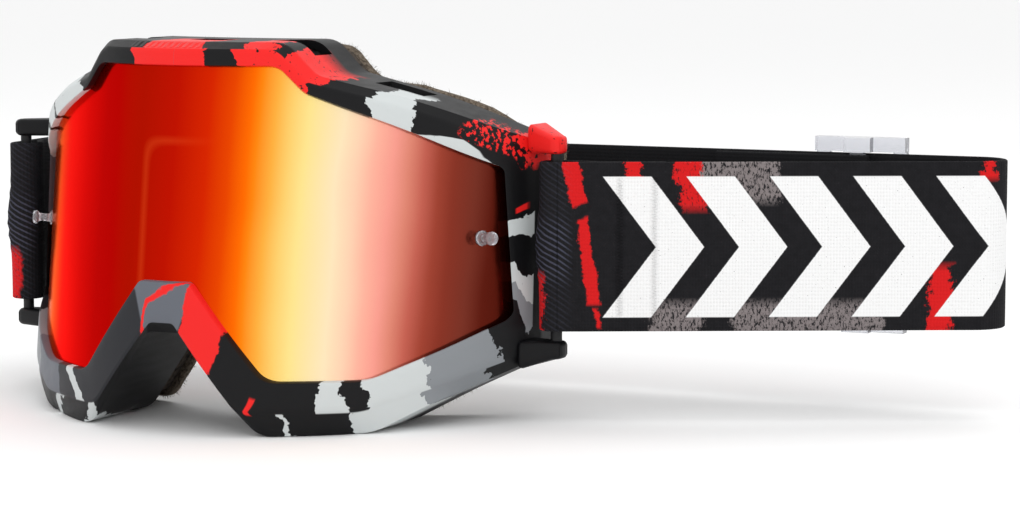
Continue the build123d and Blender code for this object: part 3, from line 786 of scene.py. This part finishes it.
def strap_arm(side, low):
    """One arm from the shell's side to the end of a strap bar."""
    lag = LEAN * (low - LEAN_HEIGHT)
    upper = low > BAR_LOW
    outline = [
        (side * ARM_ROOT_X, ARM_ROOT_FRONT + lag),
        (side * BAR_X, BAR_Y - 3.2),
        (side * (BAR_X + 2.0), BAR_Y - 2.7),
        (side * (BAR_X + ARM_TIP), BAR_Y - 1.2),
        (side * (BAR_X + ARM_TIP), BAR_Y + 1.8),
        (side * (BAR_X + 1.6), BAR_Y + 3.0),
        (side * (ARM_ROOT_X + 2.3), ARM_ROOT_REAR + lag),
        (side * ARM_ROOT_X, ARM_ROOT_REAR + lag),
    ]
    name = f"strap_arm_{'upper' if upper else 'lower'}_{'left' if side > 0 else 'right'}"
    arm = prism_block(name, outline, low, low + ARM_HEIGHT, ARM_BEVEL)
    if side > 0:
        # this side's arms deepen towards their roots, away from the strap
        for vertex in arm.data.vertices:
            x, z = abs(vertex.co.x / MM - ORIGIN[0]), vertex.co.z / MM
            root = clamp((BAR_X - x) / (BAR_X - ARM_ROOT_X))
            away = clamp((z - low) / ARM_HEIGHT if upper else (low + ARM_HEIGHT - z) / ARM_HEIGHT)
            vertex.co.z += (1 if upper else -1) * ARM_DEEPER * root * away * MM
    start = RED_CORNER if upper and side > 0 else side * BLACK_STRETCH
    constants = {"s": start, "v": PRINT_ACROSS, "t": OFF_NOSE}
    count = len(arm.data.vertices)
    set_attributes(arm.data, {label: np.full(count, value) for label, value in constants.items()})
    return arm


bracket_pieces = []
for side in (-1, 1):
    for low in (BAR_LOW, BAR_HIGH - ARM_HEIGHT):
        arm = strap_arm(side, low)
        dress(arm, frame_material)
        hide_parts("frame_moulding")
        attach(arm, "frame")
    post = [(side * BAR_X, BAR_Y, z) for z in np.linspace(BAR_LOW + 1, BAR_HIGH - 1, 12)]
    bracket_pieces.append(tube("bar", post, BAR_RADIUS, 20))
brackets = joined("strap_bars", bracket_pieces)
dress(moulding, frame_material)
dress(brackets, bracket_material)
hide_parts("frame_moulding")
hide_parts("frame_moulding")
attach(moulding, "frame")
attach(brackets, "frame")

# ---- lens ----
LENS_HALF, LENS_CORNER = 78.2, 72.0
edge = ring(inset(whole(OPENING), -1.0))
closer = np.linspace(LENS_CORNER, LENS_HALF, 14)
xs = np.unique(np.concatenate([np.linspace(-78.1, 78.1, 151), closer, -closer]))
closed = np.vstack([edge, edge[:1]])
spans = []
for x in xs:
    hits = []
    for a, b in zip(closed[:-1], closed[1:]):
        if (a[0] - x) * (b[0] - x) <= 0 and a[0] != b[0]:
            hits.append(a[1] + (b[1] - a[1]) * (x - a[0]) / (b[0] - a[0]))
    if len(hits) >= 2:
        spans.append((x, min(hits), max(hits)))
HEIGHT_STEPS = 40
span_x, span_low, span_high = np.array(spans).T
shares = np.linspace(0, 1, HEIGHT_STEPS)[:, None]
flat_x = np.tile(span_x, HEIGHT_STEPS)
flat_z = (span_low + (span_high - span_low) * shares).ravel()
front = np.stack([flat_x, front_y(flat_x, 0.0) + lean(flat_z), flat_z], axis=1)
rear = np.stack([flat_x, front_y(flat_x, -LENS_THICKNESS) + lean(flat_z), flat_z], axis=1)
columns = len(spans)
faces = grid_faces(HEIGHT_STEPS, columns)
total = len(front)
faces += [tuple(i + total for i in reversed(face)) for face in faces]
rim_loop = list(range(columns))
rim_loop += [r * columns + columns - 1 for r in range(1, HEIGHT_STEPS)]
rim_loop += [(HEIGHT_STEPS - 1) * columns + c for c in range(columns - 2, -1, -1)]
rim_loop += [r * columns for r in range(HEIGHT_STEPS - 2, 0, -1)]
for a, b in zip(rim_loop, rim_loop[1:] + rim_loop[:1]):
    faces.append((a, b, b + total, a + total))
lens_places = {"s": np.tile(flat_x, 2), "v": np.tile(flat_z, 2)}
lens = mesh_object("lens_sheet", np.vstack([front, rear]), faces, 50.0, lens_places)
dress(lens, lens_mirror())
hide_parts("lens")
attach(lens, "frame")

# ---- tear-off posts: clear spools turned about the lens's normal ----
# radius and height above the lens, from the rear end to the front one
SPOOL = [
    (0.95, -3.2), (1.15, -3.0), (1.15, 0.05), (1.95, 0.06), (2.1, 0.2), (2.1, 0.65), (1.95, 0.8),
    (1.5, 0.95), (1.22, 1.25), (1.12, 1.8), (1.1, 2.8), (1.14, 3.8), (1.3, 4.25), (1.75, 4.5),
    (1.93, 4.75), (1.95, 5.3), (1.82, 5.7), (1.45, 5.95), (0.9, 6.0),
]
SPOOL_SIDES = 40
clear = clear_plastic()
for side, word in ((1, "left"), (-1, "right")):
    x, y = plan_point(side * POST_ARC)
    outer_x, outer_y = plan_point(side * POST_ARC, 1.0)
    normal = Vector((outer_x - x, outer_y - y, -LEAN * (outer_y - y))).normalized()
    seat = Vector((x, y + LEAN * (POST_HEIGHT - LEAN_HEIGHT), POST_HEIGHT))
    first = normal.orthogonal().normalized()
    second = normal.cross(first)
    turned = []
    for radius, height in SPOOL:
        for k in range(SPOOL_SIDES):
            a = 2 * math.pi * k / SPOOL_SIDES
            out = first * math.cos(a) + second * math.sin(a)
            turned.append(tuple(seat + normal * height + out * radius))
    post_faces = grid_faces(len(SPOOL), SPOOL_SIDES, closed_columns=True)
    for row in (0, len(SPOOL) - 1):
        post_faces.append(tuple(row * SPOOL_SIDES + k for k in range(SPOOL_SIDES)))
    post = mesh_object("tear_off_post_" + word + "_turned", turned, post_faces, 50.0)
    dress(post, clear)
    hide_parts("tear_off_post_" + word)
    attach(post, "frame")
    clip = frame["nodes"]["post_clip_" + word]
    dress(clip, plain_plastic("clip_plastic_" + word, srgb(24, 24, 26), srgb(44, 44, 46)))

# ---- face foam ----
FOAM_LAYERS = (
    ("face_foam_base", "foam_dark", 0.0, 6.0, srgb(38, 35, 33), srgb(70, 65, 60), 1.1),
    ("face_foam_middle", "foam_dark", 6.0, 11.0, srgb(52, 47, 44), srgb(92, 84, 76), 1.3),
    ("face_fleece", "fleece", 11.0, 14.0, srgb(88, 78, 68), srgb(138, 126, 112), 0.8),
)
FLEECE_START, FOAM_REAR = FOAM_LAYERS[-1][2:4]


def inset_lines(*distances):
    return [ring(inset(shell_corners, distance)) for distance in distances]


# lines round a layer's outer side: the side itself, its rounded edge and the start of its flat back
foam_lines = inset_lines(3.4, 3.8, 4.5)
# the fleece stands out further, except at the temples and the brow's corners
temple = np.clip((np.abs(shell[:, :1]) - 62.0) / 10.0, 0, 1)
brow = np.clip(1.6 - np.abs(np.abs(shell[:, :1]) - 33.0) / 8.0, 0, 1) * (shell[:, 1:] > 80) * 0.75
fleece_lines = []
for wide, line in zip(inset_lines(1.5, 2.1, 3.2), foam_lines):
    fleece_lines.append(between(wide, line, np.maximum(temple, brow)))
# the same round the inner side, from the back's end to the side
inner_lines = inset_lines(8.9, 9.6, 10.0)


def roughened(points, size):
    return points + rng.normal(0, size, points.shape)


for name, slot, near, far, dark, light, pore in FOAM_LAYERS:
    is_fleece = slot == "fleece"
    rounding = min(1.0, (far - near) / 4) / 2
    outer_lines = fleece_lines if is_fleece else foam_lines
    swell, roughness = (0.25, 0.05) if is_fleece else (0.0, 0.035)
    depths = [near + rounding, *[near + (far - near) * k / 4 for k in (1, 2, 3)], far - rounding]
    loop = [at_face(outer_lines[1], near + 0.02)]
    loop += [at_face(outer_lines[0], depth) for depth in depths]
    loop.append(at_face(outer_lines[1], far - 0.02))
    for k in range(1, 5):
        line = between(outer_lines[2], inner_lines[0], k / 5)
        loop.append(at_face(line, far + swell * math.sin(math.pi * k / 5)))
    loop.append(at_face(inner_lines[1], far - 0.02))
    loop += [at_face(inner_lines[2], depth) for depth in reversed(depths)]
    loop.append(at_face(inner_lines[1], near + 0.02))
    points = roughened(np.array(loop), roughness)
    layer = sweep(name + "_soft", points, closed_columns=True, sharp_deg=80.0)
    dress(layer, foam(name, dark, light, pore))
    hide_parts(name)
    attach(layer, "frame")

# loose fibres standing on the fleece: half on its outer side, most others on its back, some on its inner side
FIBRES = 9000
FIBRE_FLOOR = 0.3
ON_OUTER, ON_BACK = 0.5, 0.9
spots = rng.integers(0, COLUMNS, FIBRES)
turns = rng.random(FIBRES)
fibre_points, fibre_faces = [], []
for spot, share in zip(spots, turns):
    if share < ON_OUTER:
        base = at_face(outer_lines[0][spot : spot + 1], FLEECE_START + 0.2 + 5.4 * share)[0]
        inward = outer_lines[2][spot] - outer_lines[0][spot]
        out = np.array([-inward[0], 0.2, -inward[1]])
    elif share < ON_BACK:
        line = between(outer_lines[2], inner_lines[1], (share - ON_OUTER) / (ON_BACK - ON_OUTER))
        base = at_face(line[spot : spot + 1], FOAM_REAR)[0]
        out = np.array([0.0, 1.0, 0.0])
    else:
        base = at_face(inner_lines[2][spot : spot + 1], FLEECE_START + 0.2 + (share - ON_BACK) * 27)[0]
        inward = inner_lines[2][spot] - inner_lines[1][spot]
        out = np.array([inward[0], 0.2, inward[1]])
    out = out / (np.linalg.norm(out) + 1e-9)
    drift = rng.normal(0, 0.5, 3)
    jitter = rng.normal(0, 0.5, 3) * (1 - np.abs(out))
    base = base + jitter
    height = rng.uniform(0.35, 0.85)
    side = np.cross(out, rng.normal(0, 1, 3))
    side = side / np.linalg.norm(side) * 0.05
    middle = base + out * height * 0.6 + drift * 0.25
    tip = base + out * height + drift * 0.7
    start = len(fibre_points)
    fibre_points += [base - side, base + side, middle + side * 0.7, middle - side * 0.7, tip]
    fibre_faces += [(start, start + 1, start + 2, start + 3), (start + 3, start + 2, start + 4)]
fibre_points = np.array(fibre_points)
fibre_points[:, 2] = np.maximum(fibre_points[:, 2], FIBRE_FLOOR)
fibres = mesh_object("fleece_fibres", fibre_points, fibre_faces, 80.0)
dress(fibres, foam("fleece_fibre", srgb(96, 86, 75), srgb(150, 138, 122), 2.0, 0.02))
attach(fibres, "frame")

# ---- vent filters ----
FILTER_GAP, FILTER_THICKNESS, FILTER_SETBACK = 0.3, 3.0, 5.0
filter_out = ring(inset(shell_corners, WALL + FILTER_GAP))
filter_in = ring(inset(shell_corners, WALL + FILTER_GAP + FILTER_THICKNESS))
filter_foam = foam("filter_foam", srgb(16, 16, 17), srgb(46, 45, 44), 1.7, 0.9)
FILTERS = (
    ("vent_filter_brow", shell[:, 1] > 78, -60, 60),
    ("vent_filter_cheek_left", shell[:, 1] < 9, 27, 56),
    ("vent_filter_cheek_right", shell[:, 1] < 9, -56, -27),
)
for name, sector, low_x, high_x in FILTERS:
    chosen = np.flatnonzero(sector & (shell[:, 0] >= low_x) & (shell[:, 0] <= high_x))
    chosen = sorted(chosen, key=lambda c: around[c])
    loop = []
    for outline, shares in ((filter_out, np.linspace(0, 1, 12)), (filter_in, np.linspace(1, 0, 12))):
        line = outline[chosen]
        for share in shares:
            front_edge = at_front(line, -RIM_DEPTH - FILTER_SETBACK)
            rear_edge = at_face(line, -FLANGE - FILTER_GAP)
            rear_edge[:, 1] = np.maximum(rear_edge[:, 1], front_edge[:, 1] + 1)
            loop.append(between(front_edge, rear_edge, share))
    strip = sweep(name + "_soft", roughened(np.array(loop), 0.06), caps=True, sharp_deg=80.0)
    dress(strip, filter_foam)
    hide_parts(name)
    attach(strip, "frame")


# ---- strap path ----
def along(point, heading, distance, out=0.0):
    """Plan point a distance on along a heading, and out to the right of it."""
    x = point[0] + distance * math.cos(heading) + out * math.sin(heading)
    y = point[1] + distance * math.sin(heading) - out * math.cos(heading)
    return np.array([x, y])


def tangent(start, start_radius, end, end_radius, before=0.0):
    """Ends and heading of the straight run between two circles that the strap turns round."""
    line = math.atan2(end[1] - start[1], end[0] - start[0])
    heading = line - math.asin((end_radius - start_radius) / math.dist(start, end))
    while heading < before:
        heading += 2 * math.pi
    return along(start, heading, 0.0, start_radius), along(end, heading, 0.0, end_radius), heading


BAR_LEFT, BAR_RIGHT = (BAR_X, BAR_Y), (-BAR_X, BAR_Y)
side_start, side_end, side_heading = tangent(BAR_LEFT, LOOP_MIDDLE, FOLD_CENTRE, FOLD_RADIUS)
rear_start, rear_end, rear_heading = tangent(FOLD_CENTRE, FOLD_RADIUS, BEND_CENTRE, BEND_RADIUS, side_heading)
last_start, last_end, last_heading = tangent(BEND_CENTRE, BEND_RADIUS, BAR_RIGHT, LOOP_MIDDLE, rear_heading)
side_length = math.dist(side_start, side_end)
rear_length = math.dist(rear_start, rear_end)
last_length = math.dist(last_start, last_end)


def run_points(start, heading, first, last):
    count = max(2, round((last - first) / RUN_STEP))
    return [along(start, heading, d) for d in np.linspace(first, last, count)]


def arc_points(centre, radius, first, last):
    """Points on an arc between two headings, without its ends, which the runs have."""
    count = max(6, round(radius * (last - first) / ARC_STEP))
    return [along(centre, h, 0, radius) for h in np.linspace(first, last, count)[1:-1]]


SECTION_STEPS = 26


def ribbon(name, path, u_start, gather=None, width=WEB_WIDTH):
    """Webbing along a plan path; the outer face is to the right of the way it runs."""
    path = np.array(path)
    heading = np.gradient(path, axis=0)
    heading /= np.linalg.norm(heading, axis=1, keepdims=True)
    right = np.stack([heading[:, 1], -heading[:, 0]], axis=1)
    gone = np.concatenate([[0], np.cumsum(np.linalg.norm(np.diff(path, axis=0), axis=1))]) + u_start
    # the section's points: height, distance out, and 1 on the outer face or 0 on the inner one
    top, low_out = width / 2, HALF_WEB * 0.6
    heights = np.linspace(-top + 0.4, top - 0.4, SECTION_STEPS)
    section = [(h, HALF_WEB, 1.0) for h in heights]
    section += [(top - 0.1, low_out, 1.0), (top, 0.0, 0.5), (top - 0.1, -low_out, 0.0)]
    section += [(h, -HALF_WEB, 0.0) for h in heights[::-1]]
    section += [(-top + 0.1, -low_out, 0.0), (-top, 0.0, 0.5), (-top + 0.1, low_out, 1.0)]
    rows, attributes = [], {"u": [], "v": [], "outer": []}
    for height, out, face in section:
        level = np.ones(len(path))
        lift = level * out
        if gather is not None:
            lift = lift + gather(gone, height)
        rows.append(np.column_stack([path + right * lift[:, None], level * (WEB_MIDDLE + height)]))
        for label, values in (("u", gone), ("v", level * (height + top)), ("outer", level * face)):
            attributes[label].append(values)
    return sweep(name, rows, caps=True, sharp_deg=60.0, attributes=attributes)


def gather_swell(gone, height):
    """The sewn end swells at mid height, with slanting ribs."""
    ribs = 0.22 * np.sin((gone * 0.7 + height) * 1.9) * math.exp(-((height / 11.0) ** 4))
    return 1.1 * math.exp(-((height / 7.5) ** 2)) + ribs


def gathered(gone, height):
    fade = np.clip(1 - (gone - 2.0) / 11.0, 0, 1) * np.clip((gone + 4.0) / 3.0, 0, 1)
    return fade * gather_swell(gone, height)


def gathered_loop(gone, height):
    """The swelling carries on round the bar from the run."""
    return np.clip((13.0 - np.abs(gone)) / 4.0, 0, 1) * gather_swell(gone, height)


fold_length = FOLD_RADIUS * (rear_heading - side_heading)
bend_length = BEND_RADIUS * (last_heading - rear_heading)
total_length = side_length + fold_length + rear_length + bend_length + last_length
split = SLIDE_SHARES["left"] * rear_length
web_material = webbing_print(total_length)

first_path = run_points(side_start, side_heading, 0, side_length)
first_path += arc_points(FOLD_CENTRE, FOLD_RADIUS, side_heading, rear_heading)
first_path += run_points(rear_start, rear_heading, 0, split)
near_web = ribbon("strap_near", first_path, 0.0, gather=gathered)


def mid_height(place):
    """Scene point at the webbing's middle height, from a plan point."""
    return world([*place, WEB_MIDDLE])[0]


# points where a blend at the fold would start, just inside the side run's line, and be over before the rear
# run; no blend is made from them
blend_from = mid_height(along(side_start, side_heading, 0.0, -1.5))
blend_to = mid_height(along(side_start, side_heading, 0.0, -15.0))
dress(near_web, web_material)
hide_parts("strap_web_left", "strap_web_rear")
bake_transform(near_web)

second_path = run_points(rear_start, rear_heading, split, rear_length)
second_path += arc_points(BEND_CENTRE, BEND_RADIUS, rear_heading, last_heading)
second_path += run_points(last_start, last_heading, 0, last_length)
u_split = side_length + fold_length + split


def from_far_end(gather):
    return lambda gone, height: gather(total_length - gone, height)


far_web = ribbon("strap_far", second_path, u_split, gather=from_far_end(gathered))
# points where a blend at the bend would run from, just inside the rear run, to just past the bend's centre;
# no blend is made from them
bend_x, bend_y = BEND_CENTRE
blend_from, blend_to = mid_height((bend_x, bend_y + BEND_RADIUS - 1.8)), mid_height((bend_x, bend_y - 2))
dress(far_web, web_material)
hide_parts("strap_web_right")
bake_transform(far_web)


def loop_path(bar, heading, hand):
    """The doubled end: along the run's inside, round the bar, and up to where the run starts."""
    inside = LOOP_MIDDLE - WEB_THICKNESS
    path = [along(bar, heading, d, hand * inside) for d in np.linspace(LOOP_LENGTH, LOOP_EASE, 10)]
    for share in np.linspace(0, 1, 9)[1:]:
        ease = share * share * (3 - 2 * share)
        out = inside * (1 - ease) - LOOP_MIDDLE * ease
        path.append(along(bar, heading, LOOP_EASE * (1 - share), hand * out))
    for angle in np.linspace(0, math.pi, 15)[1:]:
        on, out = -LOOP_MIDDLE * math.sin(angle), -hand * LOOP_MIDDLE * math.cos(angle)
        path.append(along(bar, heading, on, out))
    return path


def path_length(path):
    return float(np.linalg.norm(np.diff(np.array(path), axis=0), axis=1).sum())


near_path = loop_path(BAR_LEFT, side_heading, 1)
far_path = loop_path(BAR_RIGHT, last_heading + math.pi, -1)[::-1]
left_loop = ribbon("strap_loop_near", near_path, -path_length(near_path), gather=gathered_loop)
right_loop = ribbon("strap_loop_far", far_path, total_length, gather=from_far_end(gathered_loop))
for word, loop in (("left", left_loop), ("right", right_loop)):
    dress(loop, web_material)
    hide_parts("strap_web_" + word)
    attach(loop, "strap_" + word)


# ---- bar tacks: zigzag rows of thread, printed over with the webbing ----
def paint_like_web(obj, bar, heading, first, way):
    """Gives stitches the print of the webbing that they stand on; way is -1 where it runs towards the bar."""
    count = len(obj.data.vertices)
    flat = np.empty(count * 3)
    obj.data.vertices.foreach_get("co", flat)
    x, y, z = (flat.reshape(-1, 3) / MM - ORIGIN).T
    gone = (x - bar[0]) * math.cos(heading) + (y - bar[1]) * math.sin(heading)
    set_attributes(obj.data, {"u": first + way * gone, "v": z - WEB_LOW, "outer": np.ones(count)})


TACK_HEIGHT, TACK_LENGTH, TACK_PITCH, THREAD_RADIUS = 38.0, 2.4, 0.95, 0.16
# share of the way across the row, and how far above the webbing the thread runs there
STITCH = ((0.0, -0.12), (0.25, 0.2), (0.75, 0.2), (1.0, -0.12))
LOOPS = (("left", BAR_LEFT, side_heading, 1), ("right", BAR_RIGHT, last_heading + math.pi, -1))
for word, bar, heading, hand in LOOPS:
    out = LOOP_MIDDLE + HALF_WEB
    threads = []
    for start in (LOOP_HOLLOW + 2, LOOP_LENGTH - TACK_LENGTH - 2):
        zigzag = []
        for k, z in enumerate(np.arange(-TACK_HEIGHT / 2, TACK_HEIGHT / 2, TACK_PITCH / 2)):
            for share, lift in STITCH:
                way = share if k % 2 == 0 else 1 - share
                place = along(bar, heading, start + TACK_LENGTH * way, hand * (out + lift))
                zigzag.append((*place, WEB_MIDDLE + z + share * TACK_PITCH / 2))
        threads.append(tube("stitch", zigzag, THREAD_RADIUS, 6))
    tack = joined("bar_tack_" + word + "_stitches", threads)
    tack.data.shade_smooth()
    paint_like_web(tack, bar, heading, 0.0 if hand > 0 else total_length, hand)
    dress(tack, web_material)
    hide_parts("bar_tack_" + word)
    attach(tack, "strap_" + word)

# ---- slides and the tails they hold ----
TAIL_FROM, TAIL_TO, TAIL_NARROWER = -4.0, 42.0, 0.6
TAIL_U = 500.0  # past the print, so that tails are plain
tail_out = -(HALF_WEB + SLIDE_PLAY + SLIDE_THICKNESS + TAIL_GAP + HALF_WEB)
slide_material = clear_plastic()
for word, way in (("left", 1), ("right", -1)):
    slide = frame["nodes"]["strap_slide_" + word]
    rounding = slide.modifiers.new("rounded", "BEVEL")
    rounding.width = 0.5 * MM
    rounding.segments = 3
    rounding.limit_method = "ANGLE"
    dress(slide, slide_material)
    place = SLIDE_SHARES[word] * rear_length
    stations = np.linspace(TAIL_FROM, TAIL_TO, 30)
    path = [along(rear_start, rear_heading, place + way * d, tail_out) for d in stations]
    if way < 0:
        path = path[::-1]
    tail = ribbon("strap_tail_" + word + "_web", path, TAIL_U, width=WEB_WIDTH - TAIL_NARROWER)
    dress(tail, web_material)
    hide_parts("strap_tail_" + word)
    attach(tail, "slide_" + word)

# ---- grip beads ----
BEAD_HALF, BEAD_PROUD, BEAD_SUNK, BEAD_MARGIN, BEAD_ROUNDING = 1.1, 0.5, 0.05, 7.0, 1.6
GRIP_HEIGHTS = (-14.0, 0.0, 14.0)
beads = []
for height in GRIP_HEIGHTS:
    stations = np.linspace(LOOP_LENGTH + BEAD_MARGIN, side_length - BEAD_MARGIN, 60)
    ends = np.minimum(stations - stations[0], stations[-1] - stations)
    swell = np.sqrt(np.clip(1 - (1 - np.clip(ends / BEAD_ROUNDING, 0, 1)) ** 2, 0.02, 1))
    line_rows = []
    for angle in np.linspace(0, math.pi, 9):
        row = []
        for d, size in zip(stations, swell):
            proud = BEAD_PROUD * size * math.sin(angle)
            place = along(side_start, side_heading, d, -(HALF_WEB - BEAD_SUNK + proud))
            row.append((*place, WEB_MIDDLE + height + BEAD_HALF * size * math.cos(angle)))
        line_rows.append(row)
    beads.append(sweep("bead", line_rows, caps=True, sharp_deg=60.0))
grip = joined("grip_lines", beads)
grip.data.shade_smooth()
dress(grip, silicone())
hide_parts("grip_beads")
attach(grip, "strap_left")

# ---- floor, light and camera ----
FLOOR_REACH, FLOOR_DROP = 6.0, 0.0002
floor_mesh = bpy.data.meshes.new("floor")
corner_signs = ((-1, -1), (1, -1), (1, 1), (-1, 1))
floor_mesh.from_pydata([(x * FLOOR_REACH, y * FLOOR_REACH, 0) for x, y in corner_signs], [], [(0, 1, 2, 3)])
floor = add_object("floor", floor_mesh)
floor.location.z = -FLOOR_DROP
floor_material = Material("floor", roughness=0.9)
floor_material.colour((0.93, 0.93, 0.93))
floor.data.materials.append(floor_material.material)


def area_light(name, place, aim, width, height, watts):
    data = bpy.data.lights.new(name, "AREA")
    data.shape = "RECTANGLE"
    data.size, data.size_y = width, height
    data.energy = watts
    lamp = add_object(name, data)
    lamp.location = place
    lamp.rotation_euler = (Vector(aim) - Vector(place)).to_track_quat("-Z", "Y").to_euler()
    lamp.visible_glossy = False


centre = (-0.02, -0.03, 0.05)
area_light("key", (0.5, -1.0, 0.9), centre, 0.9, 0.7, 3.0)
area_light("top", (0.0, 0.2, 1.3), centre, 1.2, 1.2, 4.0)
world_data = bpy.data.worlds.new("world")
world_data.use_nodes = True
backdrop = world_data.node_tree.nodes["Background"]
backdrop.inputs["Color"].default_value = (1.0, 1.0, 1.0, 1.0)
backdrop.inputs["Strength"].default_value = 1.0
bpy.context.scene.world = world_data
bpy.context.scene.view_settings.view_transform = "Standard"

CAMERA_PLACE = (453.2, -728.5, 137.4)
LENS_LENGTH, CAMERA_DOWN, CAMERA_TURN = 111.02, 6.015, 25.80
camera_data = bpy.data.cameras.new("camera")
camera_data.sensor_width = 36.0
camera_data.lens = LENS_LENGTH
camera_data.clip_start, camera_data.clip_end = 0.01, 50.0
camera = add_object("camera", camera_data)
camera.location = world(CAMERA_PLACE)[0]
camera.rotation_euler = (math.radians(90 - CAMERA_DOWN), 0.0, math.radians(CAMERA_TURN))
bpy.context.scene.camera = camera
